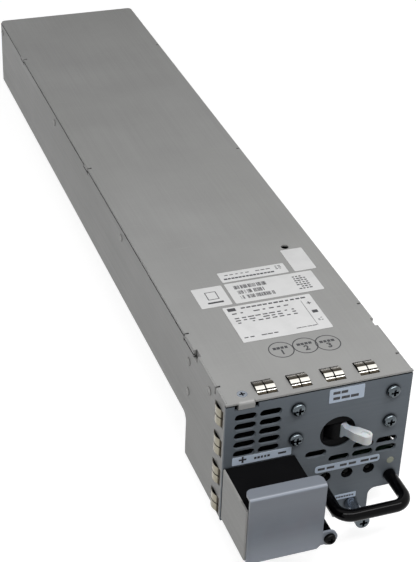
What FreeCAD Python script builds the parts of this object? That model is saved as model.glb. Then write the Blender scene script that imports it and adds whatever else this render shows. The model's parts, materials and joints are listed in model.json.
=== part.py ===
import FreeCAD, Part
import math
import os
from FreeCAD import Vector

# Plug-in DC power supply module for a rack router.
# Drawn with x from the centre line to the right, y from the face of the front panel to the back
# and z up from the bottom of the deep front section. The export moves it to the middle of its
# box at the level of its lowest edge. All sizes are millimetres.

# Body
WIDTH = 101.6
LENGTH = 490.0
HEIGHT = 75.0
THIN_HEIGHT = 49.0
STEP_DEPTH = 57.5
SHEET = 1.0
PANEL = 1.5
SIDE_BEND = 1.5
STEP_NOSE = 2.0
STEP_HOLLOW = 4.0

# Clearances
SEAM = 0.2
SLIP = 0.05
FIT = 0.1

# Lid
LID_FLANGE = 14.5
LID_FLANGE_START = 20.0
LID_EDGE_ROUND = 0.6
LID_SCREW_X = 10.8
LID_SCREW_Y = 6.6
LID_SCREW_LENGTH = 6.0
LID_SCREW_HEAD_R = 2.7
LID_HOLE_X = 83.4
LID_HOLE_Y = 129.2
LID_HOLE_D = 4.5
NOTCH_DEPTH = 2.6
NOTCH_WIDE = 1.3
NOTCH_YS = (15.6, 63.5, 249.7, 417.7)
CORNER_RELIEF = (42.0, 48.6)
RELIEF_IN = 1.9
NOTCH_SINK = 2.4
LID_SEAM = 0.9
LID_TAB_LENGTH = 7.4
LID_TAB_DROP = 1.4
LID_CORNER = 3.0
WALL_ROUND = 0.7

# Rivets along the sides
RIVET_COUNT = 4
RIVET_START = 23.5
RIVET_END = 4.5
RIVET_DROP = 8.0
RIVET_R = 1.5
RIVET_HEAD_R = 2.3
RIVET_HEAD_H = 0.7
STEP_RIVET_Y = 55.0
STEP_RIVET_DROPS = (11.8, 31.0)

# Front panel
PANEL_TOP_GAP = 1.8
PANEL_BOTTOM = 0.5
LIP_X = 6.6
LIP_WIDE = 8.8
LIP_BEND = 1.8
LIP_GAP = 2.1
LIP_DROP = 2.7
BRACKET_LENGTH = 12.0
BRACKET_LEG = 5.6
VENT_LENGTH = 11.8
VENT_WIDE = 4.6
VENT_PITCH_X = 13.4
VENT_PITCH_Z = 5.75
VENT_EDGE = 4.95
VENT_TOP_DROP = 9.6
VENT_ROWS = 5
VENT_COLUMNS = 2
LOWER_VENT_DROPS = (42.9, 48.5)
LOWER_VENT_COLUMNS = ((3, 5, 6), (4, 5, 6))

# Tab under the panel and its retaining screw
TAB_RIGHT = 17.6
TAB_WIDTH = 20.0
TAB_DROP = 15.0
TAB_ROUND = 2.0
TAB_SHOULDER = 4.0
RETAINER_DROP = 6.5
SLEEVE_R = 3.5
SLEEVE_LENGTH = 10.0
SLEEVE_NECK_R = 3.2
RETAINER_R = 2.5
RETAINER_HEAD_R = 4.0
RETAINER_HEAD_H = 4.0
RETAINER_TRAVEL = 3.3
RETAINER_TIP = 9.0
CLIP_R = 4.4
CLIP_THICK = 0.8
GROOVE_R = 1.9

# Breaker and its lever
BREAKER_RIGHT = 36.55
BREAKER_DROP = 20.2
BREAKER_WIDE = 63.5
BREAKER_TALL = 36.8
BREAKER_DEEP = 51.5
BREAKER_SCREW_X = 52.4
BREAKER_SCREW_Z = 19.05
BREAKER_SCREW_R = 1.75
BREAKER_SCREW_LENGTH = 7.0
PAN_HEAD_R = 3.8
PAN_HEAD_H = 2.6
BREAKER_HOLE_R = 9.9
BOSS_SUNK = 0.9
LEVER_RIGHT = 39.3
LEVER_DROP = 31.0
LEVER_PIVOT_Y = 5.6
LEVER_LEAN = 40.0
LEVER_REACH = 21.6
LEVER_BARREL_R = 5.4
LEVER_TALL = 9.2
PADDLE_WIDE = 6.2
PADDLE_TALL = 5.0
PADDLE_TAPER = 3.6
PADDLE_RIM = 1.2
PADDLE_DIP = 1.0
RECESS_LENGTH = 4.6
RECESS_TAPER = 0.8
NECK_WIDE = 4.0
NECK_TALL = 4.5
NECK_LENGTH = 4.4
LEVER_ROOT = 5.0
FLARE_TALL = 7.9
FLARE_LENGTH = 0.9
FLARE_TAPER = 1.5
FLARE_ROUND = 1.5
NECK_ROUND = 3.0
PADDLE_ROUND = 6.0
PIN_R = 1.5
PIN_BITE = 2.0
CRADLE_START = 20.0
CRADLE_FLANGE = 15.0

# Handle
HANDLE_ROD_R = 3.3
HANDLE_RIGHT = 6.4
HANDLE_FROM_EAR = 10.9
HANDLE_REACH = 24.5
HANDLE_Z = 8.0
HANDLE_BEND = 8.0
HANDLE_SCREW_R = 2.0
HANDLE_SCREW_LENGTH = 10.0

# Indicators
LED_COUNT = 3
LED_FIRST = 12.6
LED_LAST = 18.9
LED_Z = 14.8
LED_HOLE_R = 3.3
LED_R = 2.7
LED_BOARD_Y = 6.0
LED_BOARD_TALL = 12.0
LED_STUD_RIGHT = 6.6
LED_STUD_LEFT = 5.7
LED_STUD_Z = 17.5
LED_STUD_HEAD_R = 2.1
LED_STUD_BARREL_R = 2.75
LED_SUNK = 1.2
BOARD = 1.6

# Terminal compartment
SHROUD_WIDE = 39.3
SHROUD_DEEP = 33.8
SHROUD_BOTTOM = 3.0
SHROUD_DROP = 40.1
SHROUD_LIP = 4.0
BACK_DROP = 3.0
BLOCK_TOP_GAP = 0.4
BLOCK_BOTTOM_GAP = 1.0
BLOCK_FRONT_GAP = 2.3
BLOCK_WALL = 1.8
BAY_DEEP = 21.5
BAY_ROOF = 2.4
BOSS_R = 5.4
BOSS_REACH = 2.5
STUD_R = 3.0
STUD_DROP = 15.9
STUD_FRONT = 15.0
NUT_FLATS = 10.0
NUT_THICK = 4.5
WASHER_R = 6.0
WASHER_THICK = 1.2
COVER = 1.5
COVER_LEFT = 0.9
COVER_RIGHT = 41.5
COVER_BOTTOM = 1.5
COVER_RISE = 8.5
COVER_FLANGE = 8.1
COVER_ROUND = 3.5
COVER_BEND = 1.8
COVER_CHAMFER = 2.6
EAR_X = 45.5
EAR_Z = 7.0
EAR_R = 4.4
STANDOFF_FLATS = 6.0
COVER_SCREW_R = 1.5
COVER_SCREW_HEAD_R = 3.2
COVER_SCREW_HEAD_H = 2.6
COVER_SCREW_LENGTH = 8.0

# Copper bars from the terminals to the breaker
BAR_WIDE = 10.0
BAR = 1.5
BAR_GAP = 1.5
BAR_TERMINAL_X = 7.7
UPPER_BOSS = 9.0
BREAKER_STUD_R = 2.5
BREAKER_STUD_LENGTH = 7.0
BREAKER_STUD_BITE = 6.0
SMALL_NUT_FLATS = 8.0
SMALL_NUT_THICK = 4.0

# Grounding fingers
FINGER_PITCH = 18.55
FINGER_SLOTS = 4
FINGER_SLOT_WIDE = 10.7
FINGER_SLOT_FRONT = 3.2
FINGER_SLOT_LENGTH = 11.4
FINGER_RISE = 1.3
FINGER_STOCK = 0.25
FINGER_GAP = 0.7
FINGER_CROWN = 0.42
FINGER_ROOT_GAP = 0.8
FINGER_TIP_GAP = 0.1
FINGER_TIP_DIP = 0.1
FINGER_TOP_X = 0.5
FINGER_SIDE_DROP = 39.8
STRIP_END = 0.6
STRIP_CLEAR = 2.125
STRIP_MARGIN = 3.0

# Main board and what stands on it
BOARD_FRONT = 20.0
BOARD_BACK = 50.0
BOARD_TONGUE = 40.0
TONGUE_EDGE = 0.5
BOARD_MARGIN = 4.0
BOARD_CORNER = 6.0
SINK_GAP = 0.3
FILM_START = 12.0
STANDOFF_TALL = 6.0
STANDOFF_R = 3.0
BOARD_SCREW_R = 1.5
BOARD_SCREW_HEAD_R = 2.7
BOARD_SCREW_HEAD_H = 1.8
FILM = 0.4
CAP_R = 11.0
CAP_TALL = 32.0
CAP_COUNT = 3
CAP_PITCH = 25.0
CAP_START = 26.0
CHOKE_START = 62.0
CHOKE_R = 17.0
CHOKE_HOLE_R = 7.0
CHOKE_TALL = 18.0
SINK_START = 88.0
SINK_LENGTH = 90.0
SINK_TALL = 30.0
SINK_BASE = 4.0
SINK_FIN = 1.6
SINK_FINS = 6
CORE_START = 104.0
CORE_GAP = 1.8
CORE_WIDE = 36.0
CORE_LENGTH = 44.0
CORE_TALL = 34.0
CORE_LIMB = 5.0
WINDING_GAP = 0.3
INDUCTOR_START = 172.0
INDUCTOR_R = 15.0
OUT_CAP_R = 6.0
OUT_CAP_TALL = 22.0
OUT_CAP_PITCH = 15.0
OUT_CAP_BACK = 78.0

# Back end
REAR_FLANGE = 10.0
FAN_SIZE = 40.0
FAN_DEEP = 20.0
FAN_RIGHT = 4.75
FAN_BORE_R = 18.3
FAN_TIP_GAP = 0.7
FAN_HUB_R = 10.5
FAN_CORNER = 3.0
FAN_ARMS = 3
FAN_ARM_WIDE = 3.0
FAN_MOUNT = 3.0
FAN_SHAFT_R = 1.5
FAN_BLADES = 7
FAN_PITCH_DEG = 40.0
FAN_BLADE = 1.0
FAN_HOLES = 32.0
FAN_SCREW_R = 1.6
FAN_SCREW_SHORT = 4.0
MESH_FLATS = 4.8
MESH_PITCH = 5.7
MESH_RINGS = 3
PLUG_WIDE = 34.0
PLUG_TALL = 25.0
PLUG_LEFT = 10.0
PLUG_INSIDE = 30.0
PLUG_REACH = 9.0
BLADE_SLOTS = 5
BLADE_PITCH = 6.0
BLADE_THICK = 1.2
BLADE_TALL = 14.0
BLADE_SLOT_SPARE = 1.0

# Levels and places that follow from the sizes above
LEFT = -WIDTH / 2
RIGHT = WIDTH / 2
WALL_IN = RIGHT - SHEET
THIN_Z = HEIGHT - THIN_HEIGHT
FLOOR_Z = THIN_Z + SHEET
LID_Z = HEIGHT - SHEET
WALL_TOP = LID_Z - LID_SEAM
PANEL_TOP = HEIGHT - PANEL_TOP_GAP
LIP_XS = (LEFT + LIP_X, LEFT + LIP_X + LIP_WIDE)
LIP_Z = PANEL_TOP - LIP_DROP
TAB_X = RIGHT - TAB_RIGHT - TAB_WIDTH / 2
RETAINER_X = TAB_X
BREAKER_X = RIGHT - BREAKER_RIGHT
BREAKER_Z = HEIGHT - BREAKER_DROP
BREAKER_BOTTOM = BREAKER_Z - BREAKER_TALL / 2
BREAKER_BACK = PANEL + BREAKER_DEEP
POLE_ZS = (BREAKER_Z - BREAKER_SCREW_Z / 2, BREAKER_Z + BREAKER_SCREW_Z / 2)
BAR_END_X = BREAKER_X - BREAKER_WIDE / 2 + BAR_TERMINAL_X
LEVER_X = RIGHT - LEVER_RIGHT
LEVER_Z = HEIGHT - LEVER_DROP
BLOCK_LEFT = LEFT + SHEET + FIT
BLOCK_RIGHT = LEFT + SHROUD_WIDE
LED_STUD_XS = (BLOCK_RIGHT + LED_STUD_LEFT, RIGHT - LED_STUD_RIGHT)
LED_ROW = (LED_STUD_XS[0] + LED_FIRST, RIGHT - LED_LAST)
LED_PITCH = (LED_ROW[1] - LED_ROW[0]) / (LED_COUNT - 1)
LED_XS = [LED_ROW[0] + k * LED_PITCH for k in range(LED_COUNT)]
EAR_PLACE = (LEFT + EAR_X, EAR_Z)
HANDLE_X = (EAR_PLACE[0] + HANDLE_FROM_EAR, RIGHT - HANDLE_RIGHT)
SHROUD_TOP = HEIGHT - SHROUD_DROP
STUD_Z = SHROUD_TOP - STUD_DROP
COVER_TOP = SHROUD_TOP + COVER_RISE
BLOCK_BOTTOM = SHROUD_BOTTOM + BLOCK_BOTTOM_GAP
BLOCK_TOP = SHROUD_TOP - BLOCK_TOP_GAP
BLOCK_FRONT = -SHROUD_DEEP + BLOCK_FRONT_GAP
BAY_WIDE = (BLOCK_RIGHT - BLOCK_LEFT - 3 * BLOCK_WALL) / 2
BAY_FLOOR = BLOCK_FRONT + BAY_DEEP
STUD_XS = [BLOCK_LEFT + BLOCK_WALL + BAY_WIDE / 2 + k * (BAY_WIDE + BLOCK_WALL) for k in (0, 1)]
COVER_FACE = -SHROUD_DEEP - COVER
RIVET_PITCH = (LENGTH - RIVET_END - RIVET_START) / (RIVET_COUNT - 1)
RIVET_YS = [RIVET_START + k * RIVET_PITCH for k in range(RIVET_COUNT)]
RIVET_Z = HEIGHT - RIVET_DROP
FINGER_SLOT_BACK = FINGER_SLOT_FRONT + FINGER_SLOT_LENGTH
FINGER_STEPS = [k - (FINGER_SLOTS - 1) / 2 for k in range(FINGER_SLOTS)]
FINGER_END = FINGER_SLOT_WIDE / 2 + STRIP_END
TOP_PITCH = (FINGER_TOP_X - LIP_XS[1] - STRIP_CLEAR - FINGER_END) / FINGER_STEPS[-1]
FINGER_SIDE_OFFSETS = [step * FINGER_PITCH for step in FINGER_STEPS]
FINGER_TOP_OFFSETS = [step * TOP_PITCH for step in FINGER_STEPS]
FINGER_SIDE_Z = HEIGHT - FINGER_SIDE_DROP
BOARD_Z = FLOOR_Z + STANDOFF_TALL
BOARD_TOP = BOARD_Z + BOARD
BOARD_Y = (STEP_DEPTH + BOARD_FRONT, LENGTH - BOARD_BACK)
BOARD_HALF = WALL_IN - BOARD_MARGIN
SINK_Y = (BOARD_Y[0] + SINK_START, BOARD_Y[0] + SINK_START + SINK_LENGTH)
SINK_IN = CORE_WIDE / 2 + CORE_GAP
STANDOFF_MIDDLE = SINK_Y[1] + BOARD_SCREW_HEAD_R + SINK_GAP
STANDOFF_YS = (BOARD_Y[0] + BOARD_CORNER, STANDOFF_MIDDLE, BOARD_Y[1] - BOARD_CORNER)
FAN_X = WALL_IN - SLIP - SHEET - FAN_RIGHT - FAN_SIZE / 2
FAN_Z = (FLOOR_Z + LID_Z) / 2
FAN_Y = (LENGTH - SHEET - FAN_DEEP, LENGTH - SHEET)
FAN_SCREW_LENGTH = SHEET + FAN_DEEP - FAN_SCREW_SHORT
PLUG_X = (LEFT + PLUG_LEFT, LEFT + PLUG_LEFT + PLUG_WIDE)
PLUG_Z = (BOARD_TOP, BOARD_TOP + PLUG_TALL)
BOX_FRONT = COVER_FACE - COVER_SCREW_HEAD_H
BOX_BACK = LENGTH + PLUG_REACH

X_AXIS = Vector(1, 0, 0)
Y_AXIS = Vector(0, 1, 0)
Z_AXIS = Vector(0, 0, 1)


# Drawing tools

def block(x, y, z):
    """Box between two x, two y and two z values."""
    return Part.makeBox(x[1] - x[0], y[1] - y[0], z[1] - z[0], Vector(x[0], y[0], z[0]))


def rod(point, axis, radius, length):
    return Part.makeCylinder(radius, length, Vector(*point), axis)


def outline(corners, place):
    """Face inside a closed line of (u, v) or (u, v, radius) corners, laid in space by place(u, v)."""
    points = [(c[0], c[1], c[2] if len(c) > 2 else 0.0) for c in corners]
    edges = []
    starts = []
    ends = []
    arcs = []
    for k, (u, v, radius) in enumerate(points):
        before = points[k - 1]
        after = points[(k + 1) % len(points)]
        back = Vector(before[0] - u, before[1] - v, 0).normalize()
        ahead = Vector(after[0] - u, after[1] - v, 0).normalize()
        half = back.getAngle(ahead) / 2
        here = Vector(u, v, 0)
        reach = radius / math.tan(half)
        starts.append(here + back * reach)
        ends.append(here + ahead * reach)
        middle = (back + ahead).normalize() if radius else Vector(0, 0, 0)
        arcs.append(here + middle * (radius / math.sin(half) - radius) if radius else None)
    for k, middle in enumerate(arcs):
        following = (k + 1) % len(points)
        if middle:
            spots = [place(p.x, p.y) for p in (starts[k], middle, ends[k])]
            edges.append(Part.Arc(*spots).toShape())
        if ends[k].distanceToPoint(starts[following]) > 1e-6:
            line = [place(p.x, p.y) for p in (ends[k], starts[following])]
            edges.append(Part.LineSegment(*line).toShape())
    return Part.Face(Part.Wire(edges))


def plate_xy(corners, z):
    face = outline(corners, lambda u, v: Vector(u, v, z[0]))
    return face.extrude(Z_AXIS * (z[1] - z[0]))


def plate_xz(corners, y):
    face = outline(corners, lambda u, v: Vector(u, y[0], v))
    return face.extrude(Y_AXIS * (y[1] - y[0]))


def plate_yz(corners, x):
    face = outline(corners, lambda u, v: Vector(x[0], u, v))
    return face.extrude(X_AXIS * (x[1] - x[0]))


def turned(corners, point, axis):
    """Solid turned about an axis from (radius, distance along the axis) corners."""
    base = Vector(*point)
    out = X_AXIS if abs(axis.x) < 0.5 else Y_AXIS
    face = outline(corners, lambda r, s: base + out * r + axis * s)
    return face.revolve(base, axis, 360)


def rectangle(u, v, radius=0.0):
    return [(u[0], v[0], radius), (u[1], v[0], radius), (u[1], v[1], radius), (u[0], v[1], radius)]


def hexagon(u, v, flats):
    radius = flats / math.sqrt(3)
    angles = [math.radians(60 * k) for k in range(6)]
    return [(u + radius * math.cos(a), v + radius * math.sin(a)) for a in angles]


def joined(shapes):
    return shapes[0].multiFuse(shapes[1:]).removeSplitter()


def less(shape, tools):
    return shape.cut(Part.makeCompound(tools))


def vent(x, z):
    """Round-ended slot through the front panel."""
    half = VENT_LENGTH / 2
    wide = VENT_WIDE / 2
    return plate_xz(rectangle((x - half, x + half), (z - wide, z + wide), wide * 0.999), (-1, PANEL + 1))


def cross_recess(point, axis, radius, depth):
    """Tool for the cross in a screw head, sunk from the point along the axis."""
    arm = radius * 0.55
    thick = radius * 0.17
    side = X_AXIS if abs(axis.x) < 0.5 else Y_AXIS
    other = axis.cross(side)
    base = Vector(*point)
    arms = []
    for u, v in ((arm, thick), (thick, arm)):
        corners = [base + side * a * u + other * b * v for a, b in ((-1, -1), (1, -1), (1, 1), (-1, 1))]
        wire = Part.makePolygon(corners + corners[:1])
        arms.append(Part.Face(wire).extrude(axis * depth))
    return arms[0].fuse(arms[1])


def pan_screw(seat, axis, head_r, head_h, shank_r, length):
    """Domed screw with a cross, whose head stands on the seat and whose shank runs along the axis."""
    body = turned([
        (0, -head_h), (head_r, -head_h, head_h * 0.75), (head_r, 0), (shank_r, 0),
        (shank_r, length), (0, length),
    ], seat, axis)
    top = Vector(*seat) - axis * head_h
    return body.cut(cross_recess(tuple(top), axis, head_r, head_h * 0.5))


def plain_screw(seat, axis, head_r, head_h, shank_r, length):
    """Screw with a bevelled head for places that are seldom seen."""
    bevel = head_h * 0.4
    return turned([
        (0, -head_h), (head_r - bevel, -head_h), (head_r, bevel - head_h), (head_r, 0), (shank_r, 0),
        (shank_r, length), (0, length),
    ], seat, axis)


def hex_nut(x, z, y, flats, hole_r):
    body = plate_xz(hexagon(x, z, flats), y)
    return body.cut(rod((x, y[0], z), Y_AXIS, hole_r, y[1] - y[0]))


# Sheet metal body

def step_profile(inset, front, back, top):
    """Side view of the stepped body, drawn in by the inset."""
    floor = THIN_Z + inset
    step = STEP_DEPTH - inset
    return [
        (front, inset), (step, inset, STEP_NOSE - inset * 0.5), (step, floor, STEP_HOLLOW + inset),
        (back, floor), (back, top), (front, top),
    ]


def is_lower_side_edge(edge):
    middle = edge.CenterOfMass
    on_side = abs(abs(middle.x) - RIGHT) < 1e-6
    inside = PANEL + 1e-6 < middle.y < LENGTH - 1e-6
    return on_side and inside and middle.z < WALL_TOP - 1e-6


def finger_slots_side():
    y = (FINGER_SLOT_FRONT, FINGER_SLOT_BACK)
    half = FINGER_SLOT_WIDE / 2
    x = (LEFT - 1, RIGHT + 1)
    return [block(x, y, (FINGER_SIDE_Z + d - half, FINGER_SIDE_Z + d + half)) for d in FINGER_SIDE_OFFSETS]


def finger_slots_flat(z):
    y = (FINGER_SLOT_FRONT, FINGER_SLOT_BACK)
    half = FINGER_SLOT_WIDE / 2
    return [block((FINGER_TOP_X + d - half, FINGER_TOP_X + d + half), y, z) for d in FINGER_TOP_OFFSETS]


def rivet_places():
    along = [(y, RIVET_Z) for y in RIVET_YS]
    return along + [(STEP_RIVET_Y, HEIGHT - drop) for drop in STEP_RIVET_DROPS]


def rivet_holes():
    return [rod((LEFT - 1, y, z), X_AXIS, RIVET_R + SLIP, WIDTH + 2) for y, z in rivet_places()]


def chassis():
    outer = plate_yz(step_profile(0.0, PANEL, LENGTH, WALL_TOP), (LEFT, RIGHT))
    outer = outer.makeFillet(SIDE_BEND, [e for e in outer.Edges if is_lower_side_edge(e)])
    hollow = plate_yz(step_profile(SHEET, PANEL - 1, LENGTH + 1, HEIGHT), (-WALL_IN, WALL_IN))
    shell = joined([outer.cut(hollow)] + wall_lips())
    tools = finger_slots_side() + finger_slots_flat((-1, SHEET + 1)) + rivet_holes()
    return less(shell, tools + lid_slits(WALL_TOP - NOTCH_SINK) + lid_tab_rooms())


def wall_lips():
    """Front of each wall, which stands up beside the lid and is rounded like a bend."""
    y = (PANEL + SEAM, CORNER_RELIEF[0])
    lips = []
    for side in (-1, 1):
        lip = block(sorted((side * WALL_IN, side * RIGHT)), y, (WALL_TOP, HEIGHT))
        middles = [(e, e.CenterOfMass) for e in lip.Edges]
        rim = [e for e, spot in middles if spot.z > HEIGHT - 1e-6 and abs(spot.x) > RIGHT - 1e-6]
        lips.append(lip.makeFillet(WALL_ROUND, rim))
    return lips


def lid_slits(bottom):
    """Slits in the long edges of the lid and the relief where the raised front of a wall ends."""
    slits = [(NOTCH_DEPTH, y - NOTCH_WIDE / 2, y + NOTCH_WIDE / 2) for y in NOTCH_YS]
    slits.append((RELIEF_IN,) + CORNER_RELIEF)
    tools = []
    for deep, start, end in slits:
        for side in (-1, 1):
            x = sorted((side * (RIGHT + 1), side * (RIGHT - deep)))
            tools.append(block(x, (start, end), (bottom, HEIGHT + 1)))
    return tools


def lid_corners():
    """Half of the lid's outline: full width in front, let in beside the raised wall, full width behind."""
    inner = WALL_IN - SLIP
    wide_from = CORNER_RELIEF[1]
    return [
        (RIGHT, 0), (RIGHT, PANEL), (inner, PANEL), (inner, wide_from), (RIGHT, wide_from),
        (RIGHT, LENGTH, LID_CORNER),
    ]


def lid_tab_spans():
    """Stretches of the lid's long edges that are bent down over a lowered part of the wall."""
    half = NOTCH_WIDE / 2
    front = (CORNER_RELIEF[1], NOTCH_YS[1] - half)
    return [front] + [(y + half, y + half + LID_TAB_LENGTH) for y in NOTCH_YS[2:]]


def lid_tabs():
    z = (LID_Z - LID_TAB_DROP, LID_Z)
    return [block(sorted((side * WALL_IN, side * RIGHT)), y, z) for y in lid_tab_spans() for side in (-1, 1)]


def lid_tab_rooms():
    z = (WALL_TOP - LID_TAB_DROP, HEIGHT)
    rooms = []
    for start, end in lid_tab_spans():
        for side in (-1, 1):
            rooms.append(block(sorted((side * WALL_IN, side * (RIGHT + 1))), (start, end + LID_SEAM), z))
    return rooms


def top_cover():
    corners = lid_corners() + [(-corner[0],) + corner[1:] for corner in reversed(lid_corners())]
    sheet = plate_xy(corners, (LID_Z, HEIGHT))
    behind = LENGTH - CORNER_RELIEF[1] - LID_CORNER
    long_edges = [
        e for e in sheet.Edges
        if abs(e.Length - behind) < 1e-6 and e.CenterOfMass.z > HEIGHT - 1e-6
    ]
    sheet = sheet.makeFillet(LID_EDGE_ROUND, long_edges)
    flange_y = (LID_FLANGE_START, LENGTH - SHEET - REAR_FLANGE - SHEET)
    flange_out = WALL_IN - SLIP
    flanges = []
    for side in (-1, 1):
        x = sorted((side * flange_out, side * (flange_out - SHEET)))
        flanges.append(block(x, flange_y, (HEIGHT - LID_FLANGE, LID_Z)))
    tools = finger_slots_flat((LID_Z - 1, HEIGHT + 1)) + rivet_holes()
    tools.append(rod((LEFT + LID_HOLE_X, LID_HOLE_Y, LID_Z - 1), Z_AXIS, LID_HOLE_D / 2, SHEET + 2))
    tools.append(lid_screw_shape(SLIP))
    sheet = sheet.cut(block(LIP_XS, (-1, LIP_BEND), (LID_Z - 1, HEIGHT + 1)))
    return less(joined([sheet, lid_lip()] + flanges + lid_tabs()), tools + lid_slits(WALL_TOP - NOTCH_SINK))


def lid_lip():
    """Short lip of the lid's front edge, bent down into a notch of the panel."""
    return plate_yz([
        (0, LIP_Z + SEAM), (SHEET, LIP_Z + SEAM), (SHEET, LID_Z, LIP_BEND - SHEET), (2 * LIP_BEND, LID_Z),
        (2 * LIP_BEND, HEIGHT), (0, HEIGHT, LIP_BEND),
    ], LIP_XS)


def lid_screw_shape(spare):
    """Flat-headed screw of the lid, or with spare room the tool for its hole."""
    head_r = LID_SCREW_HEAD_R + spare
    shank_r = BOARD_SCREW_R + spare
    corners = [
        (0, 0), (head_r, 0), (head_r, -0.15), (shank_r, -0.15 - (head_r - shank_r)),
        (shank_r, -LID_SCREW_LENGTH - spare), (0, -LID_SCREW_LENGTH - spare),
    ]
    return turned(corners, (LEFT + LID_SCREW_X, LID_SCREW_Y, HEIGHT), Z_AXIS)


def lid_screw():
    head = (LEFT + LID_SCREW_X, LID_SCREW_Y, HEIGHT)
    return lid_screw_shape(0.0).cut(cross_recess(head, -Z_AXIS, LID_SCREW_HEAD_R, 0.8))


def side_rivets():
    solids = []
    for y, z in rivet_places():
        grip = SHEET + SLIP + SHEET
        for side in (-1, 1):
            corners = [
                (0, -RIVET_HEAD_H), (RIVET_HEAD_R - RIVET_HEAD_H, -RIVET_HEAD_H),
                (RIVET_HEAD_R, -0.2), (RIVET_HEAD_R, 0),
                (RIVET_R, 0), (RIVET_R, grip), (RIVET_HEAD_R, grip), (RIVET_HEAD_R, grip + RIVET_HEAD_H),
                (0, grip + RIVET_HEAD_H),
            ]
            solids.append(turned(corners, (side * RIGHT, y, z), X_AXIS * -side))
    return Part.makeCompound(solids)


def rear_panel():
    half = WALL_IN - SLIP
    z = (FLOOR_Z, LID_Z)
    sheet = block((-half, half), (LENGTH - SHEET, LENGTH), z)
    parts = [sheet]
    for side in (-1, 1):
        x = sorted((side * half, side * (half - SHEET)))
        parts.append(block(x, (LENGTH - SHEET - REAR_FLANGE, LENGTH), z))
    tools = rivet_holes()
    plug_x = (PLUG_X[0] - SEAM, PLUG_X[1] + SEAM)
    plug_z = (PLUG_Z[0] - SEAM, PLUG_Z[1] + SEAM)
    tools.append(block(plug_x, (LENGTH - 2, LENGTH + 1), plug_z))
    for x, z in mesh_places():
        tools.append(plate_xz(hexagon(x, z, MESH_FLATS), (LENGTH - SHEET - 1, LENGTH + 1)))
    for x, z in fan_screw_places():
        tools.append(rod((x, LENGTH - SHEET - 1, z), Y_AXIS, FAN_SCREW_R + FIT, SHEET + 2))
    return less(joined(parts), tools)


def mesh_places():
    """Honeycomb of air holes over the fan."""
    places = []
    for row in range(-MESH_RINGS, MESH_RINGS + 1):
        count = 2 * MESH_RINGS + 1 - abs(row)
        for k in range(count):
            x = FAN_X + row * MESH_PITCH * math.sqrt(3) / 2
            places.append((x, FAN_Z + (k - (count - 1) / 2) * MESH_PITCH))
    return places


# Front panel and what is fixed to it

def breaker_screw_places():
    half_x = BREAKER_SCREW_X / 2
    half_z = BREAKER_SCREW_Z / 2
    return [(BREAKER_X + a * half_x, BREAKER_Z + b * half_z) for a in (-1, 1) for b in (-1, 1)]


def panel_corners():
    tab_left = TAB_X - TAB_WIDTH / 2
    tab_right = TAB_X + TAB_WIDTH / 2
    return [
        (LEFT, PANEL_BOTTOM), (tab_left, PANEL_BOTTOM, TAB_SHOULDER), (tab_left, -TAB_DROP, TAB_ROUND),
        (tab_right, -TAB_DROP, TAB_ROUND), (tab_right, PANEL_BOTTOM, TAB_SHOULDER),
        (RIGHT, PANEL_BOTTOM), (RIGHT, PANEL_TOP), (LEFT, PANEL_TOP),
    ]


def panel_vents():
    first_x = LEFT + VENT_EDGE + VENT_LENGTH / 2
    places = []
    for row in range(VENT_ROWS):
        for column in range(VENT_COLUMNS):
            places.append((first_x + column * VENT_PITCH_X, HEIGHT - VENT_TOP_DROP - row * VENT_PITCH_Z))
    for drop, columns in zip(LOWER_VENT_DROPS, LOWER_VENT_COLUMNS):
        places += [(first_x + column * VENT_PITCH_X, HEIGHT - drop) for column in columns]
    return [vent(x, z) for x, z in places]


def front_panel():
    sheet = plate_xz(panel_corners(), (0, PANEL))
    hole = lambda x, z, r: rod((x, -1, z), Y_AXIS, r, PANEL + 2)
    tools = panel_vents()
    tools.append(block((LIP_XS[0] - LIP_GAP, LIP_XS[1] + LIP_GAP), (-1, PANEL + 1), (LIP_Z, HEIGHT)))
    tools += [hole(x, z, BREAKER_SCREW_R + FIT) for x, z in breaker_screw_places()]
    tools += [hole(LEVER_X, LEVER_Z, BREAKER_HOLE_R)]
    tools += [hole(x, LED_Z, LED_HOLE_R) for x in LED_XS]
    tools += [hole(x, HANDLE_Z, HANDLE_SCREW_R + FIT) for x in HANDLE_X]
    tools += [hole(x, LED_STUD_Z, LED_STUD_HEAD_R + SLIP) for x in LED_STUD_XS]
    tools += [hole(x, STUD_Z, BOSS_R + FIT) for x in STUD_XS]
    tools += [hole(EAR_PLACE[0], EAR_PLACE[1], COVER_SCREW_R + FIT)]
    tools += [hole(RETAINER_X, -RETAINER_DROP, SLEEVE_NECK_R + SLIP)]
    return less(sheet, tools)


def lid_bracket():
    """Angle on the back of the panel, behind the lid's lip, that takes the lid's screw."""
    angle = plate_yz([
        (PANEL, LID_Z - BRACKET_LEG), (PANEL + SHEET, LID_Z - BRACKET_LEG), (PANEL + SHEET, LID_Z - SHEET),
        (BRACKET_LENGTH, LID_Z - SHEET), (BRACKET_LENGTH, LID_Z), (PANEL, LID_Z, SHEET),
    ], LIP_XS)
    return angle.cut(lid_screw_shape(SLIP))


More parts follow.
